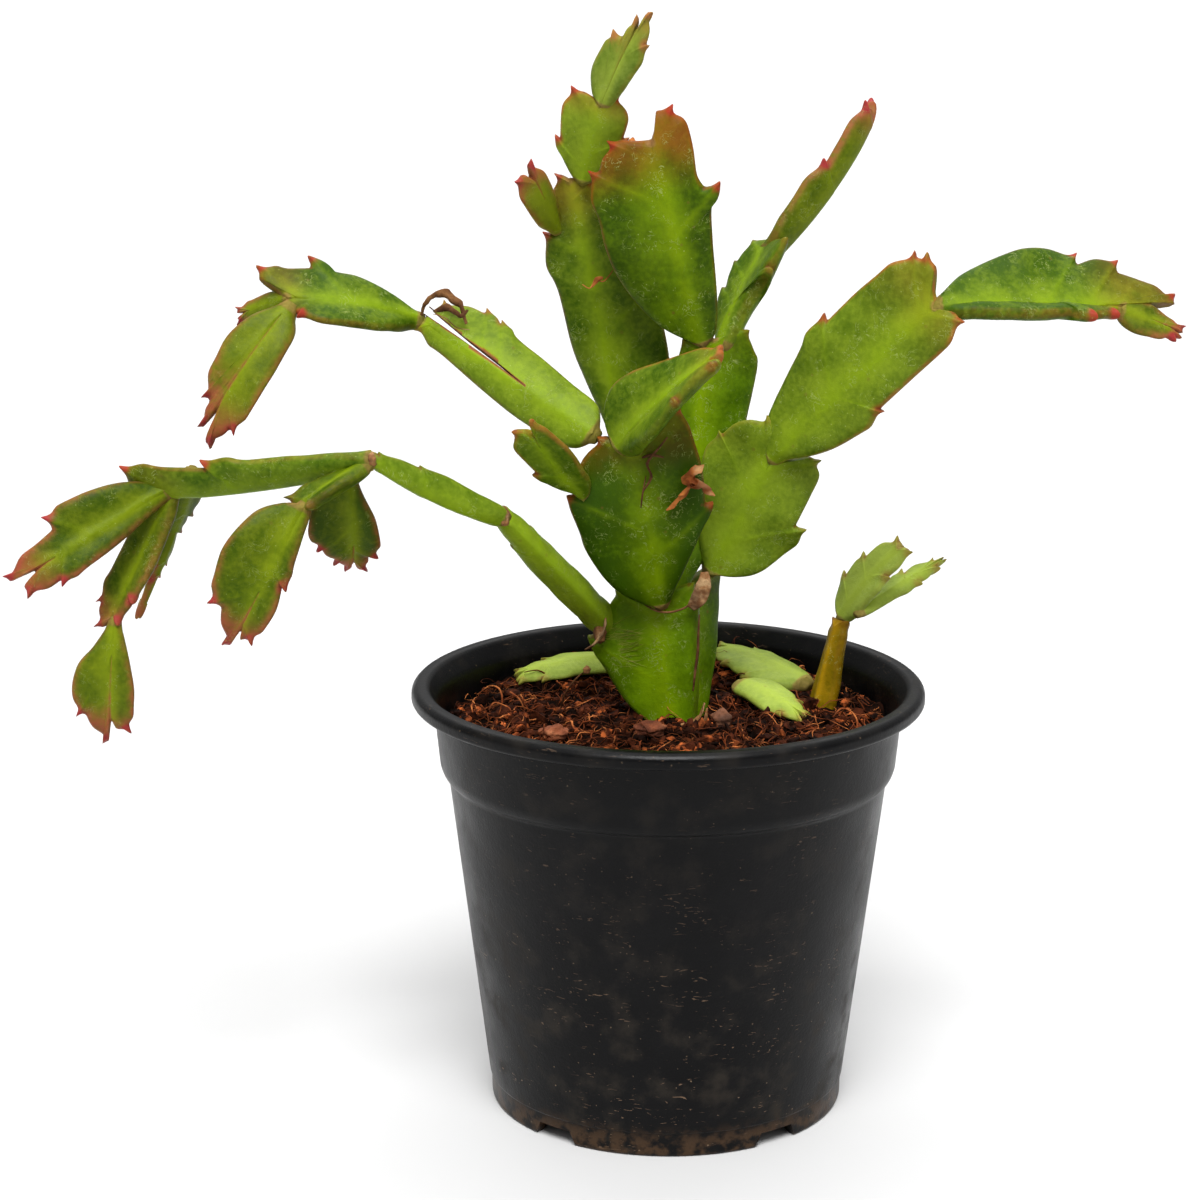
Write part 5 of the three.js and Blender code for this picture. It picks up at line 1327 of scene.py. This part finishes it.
def skin_hairs():
    """Fine pale hairs on the trunk: each path wanders over the front of the blade from a seeded
    place, at a steady curl, just clear of the skin."""
    draw = np.random.default_rng(HAIR_SEED)
    trunk = pads["trunk_segment"]
    share = np.linspace(0, 1, HAIR_PLACES)[None, :]
    x = 33 + 8 * draw.random((HAIRS, 1))
    y = -14 + 5 * draw.random((HAIRS, 1)) ** 2
    heading = (1.6 + 1.0 * (draw.random((HAIRS, 1)) - 0.5)
               + (0.6 - 2.2 * draw.random((HAIRS, 1))) * (share - 0.4))
    length = 3 + 9 * draw.random((HAIRS, 1)) ** 1.5
    x = x + np.cumsum(np.cos(heading) * length / HAIR_PLACES, axis=1)
    y = y + np.cumsum(np.sin(heading) * length / HAIR_PLACES, axis=1)
    y = np.where(np.abs(y) < 0.05, 0.05, y)
    edge = np.interp(x, [0, 16, 23, 31, 38, 47], [4, 6.6, 11.8, 15.5, TRUNK_WIDEST, 9.5])
    inward = edge * (1 - np.clip(np.abs(y) / edge, 0, 0.95))
    height = trunk.skin_height(x, np.abs(y), inward, TRUNK_WIDEST)
    height = height + RIB_HEIGHT * bell(y, RIB_WIDTH) + HAIR_CLEARANCE
    paths = trunk.place(x, np.abs(y), np.sign(y), height)
    points, faces = fibre_tubes(paths, 0.035 + 0.04 * draw.random(HAIRS), 3)
    make_piece("trunk_hairs", points, faces, "hair", (),
               even_tone(points, HAIR_TONE))


def make_flower_remains():
    """The dried flower on the front segment: its string-like stalk and a star of dry petals."""
    strand("flower_string", [[-5.7, -14.6, 150.0], [-4.0, -16.2, 153.5], [-4.9, -15.8, 156.5],
                             [-2.6, -16.4, 159.8], [-0.4, -15.4, 162.4]], 0.42, "cork", 0.25)
    strand("flower_thread", [[-5.2, -15.0, 153.5], [-6.0, -15.6, 149.0], [-6.3, -14.6, 146.0]],
           0.22, "cork", 0.3)
    strand("flower_root", [[-6.0, -14.8, 157.6], [-3.8, -16.0, 158.4], [-1.2, -16.4, 158.0]],
           0.55, "cork", 0.1)
    middle = np.array([4.4, -15.0, 151.2])
    ends = (((-0.6, -14.4, 145.4), 1.1, 0.5), ((7.8, -16.6, 156.4), 1.7, 0.8),
            ((10.4, -15.2, 149.0), 1.5, 0.85), ((6.6, -17.8, 153.0), 1.5, 0.7),
            ((2.2, -16.6, 149.2), 1.2, 0.65))
    for number, (end, width, tone) in enumerate(ends):
        end = np.array(end)
        bent = np.array([0.7 * (-1) ** number, -1.1, 0.9])
        path = [middle, 0.6 * middle + 0.4 * end + bent, 0.25 * middle + 0.75 * end, end]
        dried_petal(f"flower_petal_{number + 1}", path, [0.6, width, 0.5 * width, 0.8 * width, 0.1],
                    [0.6, -0.5, 0.6 * (-1) ** number], 0.6, "petal", tone, 0.16)


def make_scars():
    """Cork and dry skin where the segments join and on the torn one."""
    strand("trunk_scar", [[7.2, -4.3, 118.6], [7.0, -4.4, 113.5], [6.9, -4.0, 109.6],
                          [6.3, -3.9, 104.5], [5.9, -3.2, 100.0]], 0.34, "cork", 0.3,
           steps=40)
    strand("trunk_rim", [[-5.6, -2.8, 120.6], [-2.6, -4.2, 119.4], [0.8, -4.6, 119.3],
                         [4.4, -4.2, 120.6], [5.8, -3.6, 123.2]], 0.42, "cork", 0.6)
    dried_petal("trunk_flake", [[5.2, -4.4, 120.2], [7.3, -4.8, 123.2], [8.3, -4.4, 126.6],
                                [8.2, -3.6, 128.6]], [1.0, 1.9, 1.8, 0.8], [1, -0.1, -0.4], 0.25,
                "cork", 0.95, 0.2)
    dried_petal("base_flake_1", [[4.6, -3.9, 91.4], [7.4, -4.2, 93.6], [8.6, -3.4, 97.2]],
                [0.5, 1.3, 0.9, 0.3], [0.3, -0.8, 0], 0.3, "cork", 0.7, 0.2)
    dried_petal("base_flake_2", [[5.6, -4.6, 90.8], [8.8, -3.8, 92.8], [9.2, -2.8, 95.8]],
                [0.4, 1.0, 0.9, 0.2], [-0.3, -0.8, 0.3], 0.35, "cork", 0.55, 0.2)
    dried_petal("base_flake_3", [[3.0, -4.0, 91.8], [6.0, -4.8, 91.8], [8.2, -4.4, 93.6]],
                [0.4, 0.9, 0.7, 0.2], [0.1, -0.6, -0.5], 0.3, "cork", 0.8, 0.2)
    make_lump("arm_callus", [-16.0, 1.6, 112.6], [1.5, 1.7, 2.6], "cork", 4, grit=0.16)
    strand("arm_callus_edge", [[-14.6, 0.2, 116.6], [-15.0, -0.6, 113.8], [-17.2, -0.2, 110.4],
                               [-19.4, 1.2, 108.6]], 0.5, "cork", 0.9)
    for number, name in enumerate(("lower_left_segment_2", "lower_left_segment_3")):
        seat = pads[name].seat + 0.4 * pads[name].along
        make_lump(f"joint_callus_{number + 1}", seat + [0.2, -0.6, 0.3],
                  [1.7 - 0.4 * number, 1.9, 2.3 - 0.6 * number], "cork", 5 + number,
                  grit=0.12)
    torn = pads["upper_left_segment_1"]
    upper = (50, 3.6), (44, 2.9), (37, 2.1), (28, 1.4), (17, 0.4)
    lower = (50, 1.5), (43, 1.3), (35, 1.0), (27, 0.7), (17, 0.3)
    for side, edge, radius, tone in (("upper", upper, 0.34, 0.35), ("lower", lower, 0.3, 0.2)):
        strand("torn_edge_" + side, [torn.blade_top(x, y) for x, y in edge], radius, "cork",
               tone, steps=40)
    dried_petal("torn_curl_1", [torn.point(50.5, 1.5) + [0, -1.5, 0], [-55.0, 3.4, 190.2],
                                [-51.6, 3.2, 191.4], [-48.0, 1.2, 189.0], [-46.6, 0.2, 185.4]],
                [0.5, 1.0, 1.5, 1.3, 0.4], [0.2, -0.9, 0.5], 0.7, "cork", 0.5, 0.2)
    dried_petal("torn_curl_2", [[-53.6, 2.2, 188.0], [-50.4, 0.8, 188.6], [-47.8, 0, 187.0],
                                [-46.0, 0.6, 188.6]], [0.4, 1.2, 1.0, 0.3], [0, -0.7, 0.7], 0.5,
                "cork", 0.3, 0.2)
    strand("torn_thread", [[-54.2, 2.6, 187.4], [-51.2, -0.6, 187.0], [-48.4, -1.0, 184.8],
                           [-45.6, -1.2, 184.4]], 0.2, "cork", 0.75)


def make_small_matter():
    """A dry thread on the back segment, a bud behind the tall one, and a twig and a few fibres
    that stand up from the soil."""
    strand("back_thread", [[-20.4, 17.6, 192.2], [-18.6, 15.6, 191.6], [-17.3, 16.8, 193.4],
                           [-15.4, 15.8, 193.2], [-13.3, 16.6, 195.6]], 0.26, "petal",
           0.6)
    dried_petal("back_flake", [[-18.2, 15.9, 191.8], [-17.0, 15.6, 193.6], [-15.6, 15.8, 194.0]],
                [0.2, 0.7, 0.3], [0.3, 0, 1], 0.3, "petal", 0.55, 0.15)
    make_lump("dry_bud", [-8.8, 8.5, 225.2], [1.4, 2.3, 1.7], "petal", 7)
    strand("soil_twig", [[-25.2, 4.0, 93.6], [-24.2, 2.2, 97.4], [-21.6, 0.6, 101.6],
                         [-19.2, -0.4, 104.0]], 0.3, "cork", 0.1)
    make_lump("twig_ball", [-19.0, -0.6, 104.2], [0.9, 0.9, 1.0], "cork", 8,
              grit=0.15)
    draw = np.random.default_rng(LOOSE_FIBRE_SEED)
    share = np.linspace(0, 1, 5)
    starts = (-40, 6, 0.4), (-37, 2, 1.1), (-34, 9, 2.0), (-42, 0, 1.6), (47, 8, 2.4), (44, -4, 0.8)
    for number, (x0, y0, turn) in enumerate(starts):
        swing = turn + 2.4 * share
        x = x0 + 5.5 * share * np.cos(swing)
        y = y0 + 4.5 * share * np.sin(swing)
        arch = 5.5 * np.sin(0.7 * np.pi * share) * (0.6 + 0.5 * draw.random())
        z = soil_height(x, y) + 0.6 + arch
        strand(f"loose_fibre_{number + 1}", np.stack([x, y, z], -1), 0.3, "fibre",
               0.85)


# ------------------------------------------------------------------ stage and light
# Lengths of the stage are metres.
FLOOR_HALF = 60.0
FLOOR_GREYS = (191, 191, 191), (193, 193, 193)
FLOOR_ROUGHNESS = 0.9
BACKDROP_RADIUS = 15.0
BACKDROP_HEIGHT = 8.0
BACKDROP_SIDES = 96
SKY_LOW, SKY_HIGH = 0.12, 1.0
SKY_TOP = 0.9
# name, turn in degrees, strength, softness in degrees
SUNS = (("key", (32, 0, 2), 4.1, 32), ("back", (-30, 0, 0), 1.3, 60))


def make_stage_piece(name, points, faces, material):
    """A piece of the stage, with its points in metres."""
    mesh = bpy.data.meshes.new(name)
    mesh.from_pydata(points, [], faces)
    mesh.materials.append(material)
    piece = add_object(name, mesh)
    return piece


def make_floor():
    """A plain floor, pale enough to show white under this light, far larger than the view."""
    half = FLOOR_HALF
    f = Finish("floor_white")
    color = f.mix(f.noise(0.02, 2.0), *map(linear, FLOOR_GREYS))
    make_stage_piece("floor", [(-half, -half, 0), (half, -half, 0), (half, half, 0),
                               (-half, half, 0)], [(0, 1, 2, 3)],
                     f.finish(color, FLOOR_ROUGHNESS, 0.0))


def make_backdrop():
    """A white wall that stands on the floor in a ring. It takes no part in the light."""
    wall = [ring(BACKDROP_RADIUS, level, BACKDROP_SIDES) for level in (0, BACKDROP_HEIGHT)]
    inward = grid_faces(2, BACKDROP_SIDES)[:, [1, 0, 3, 2]]
    material = bpy.data.materials.new("backdrop_white")
    material.use_nodes = True
    nodes, links = material.node_tree.nodes, material.node_tree.links
    nodes.clear()
    glow = nodes.new("ShaderNodeEmission")
    output = nodes.new("ShaderNodeOutputMaterial")
    links.new(glow.outputs["Emission"], output.inputs["Surface"])
    backdrop = make_stage_piece("backdrop", np.vstack(wall).tolist(), inward.tolist(), material)
    backdrop.visible_diffuse = backdrop.visible_glossy = False
    backdrop.visible_transmission = backdrop.visible_shadow = False


def make_light():
    """A pale sky that is brighter overhead than at the horizon, and two broad soft suns."""
    world = bpy.data.worlds.new("studio")
    world.use_nodes = True
    bpy.context.scene.world = world
    nodes, links = world.node_tree.nodes, world.node_tree.links
    background = nodes["Background"]
    coordinates = nodes.new("ShaderNodeTexCoord")
    split = nodes.new("ShaderNodeSeparateXYZ")
    links.new(coordinates.outputs["Generated"], split.inputs[0])
    ramp = nodes.new("ShaderNodeMapRange")
    for key, value in (("From Min", 0.0), ("From Max", SKY_TOP), ("To Min", SKY_LOW),
                       ("To Max", SKY_HIGH)):
        ramp.inputs[key].default_value = value
    links.new(split.outputs[2], ramp.inputs["Value"])
    links.new(ramp.outputs["Result"], background.inputs["Strength"])
    background.inputs["Color"].default_value = (1, 1, 1, 1)
    for name, turn, strength, softness in SUNS:
        data = bpy.data.lights.new(name, "SUN")
        data.energy = strength
        data.angle = math.radians(softness)
        add_object(name, data).rotation_euler = [math.radians(degrees) for degrees in turn]


make_pads()
make_pot()
make_soil()
skin_hairs()
make_flower_remains()
make_scars()
make_small_matter()
make_floor()
make_backdrop()
make_light()
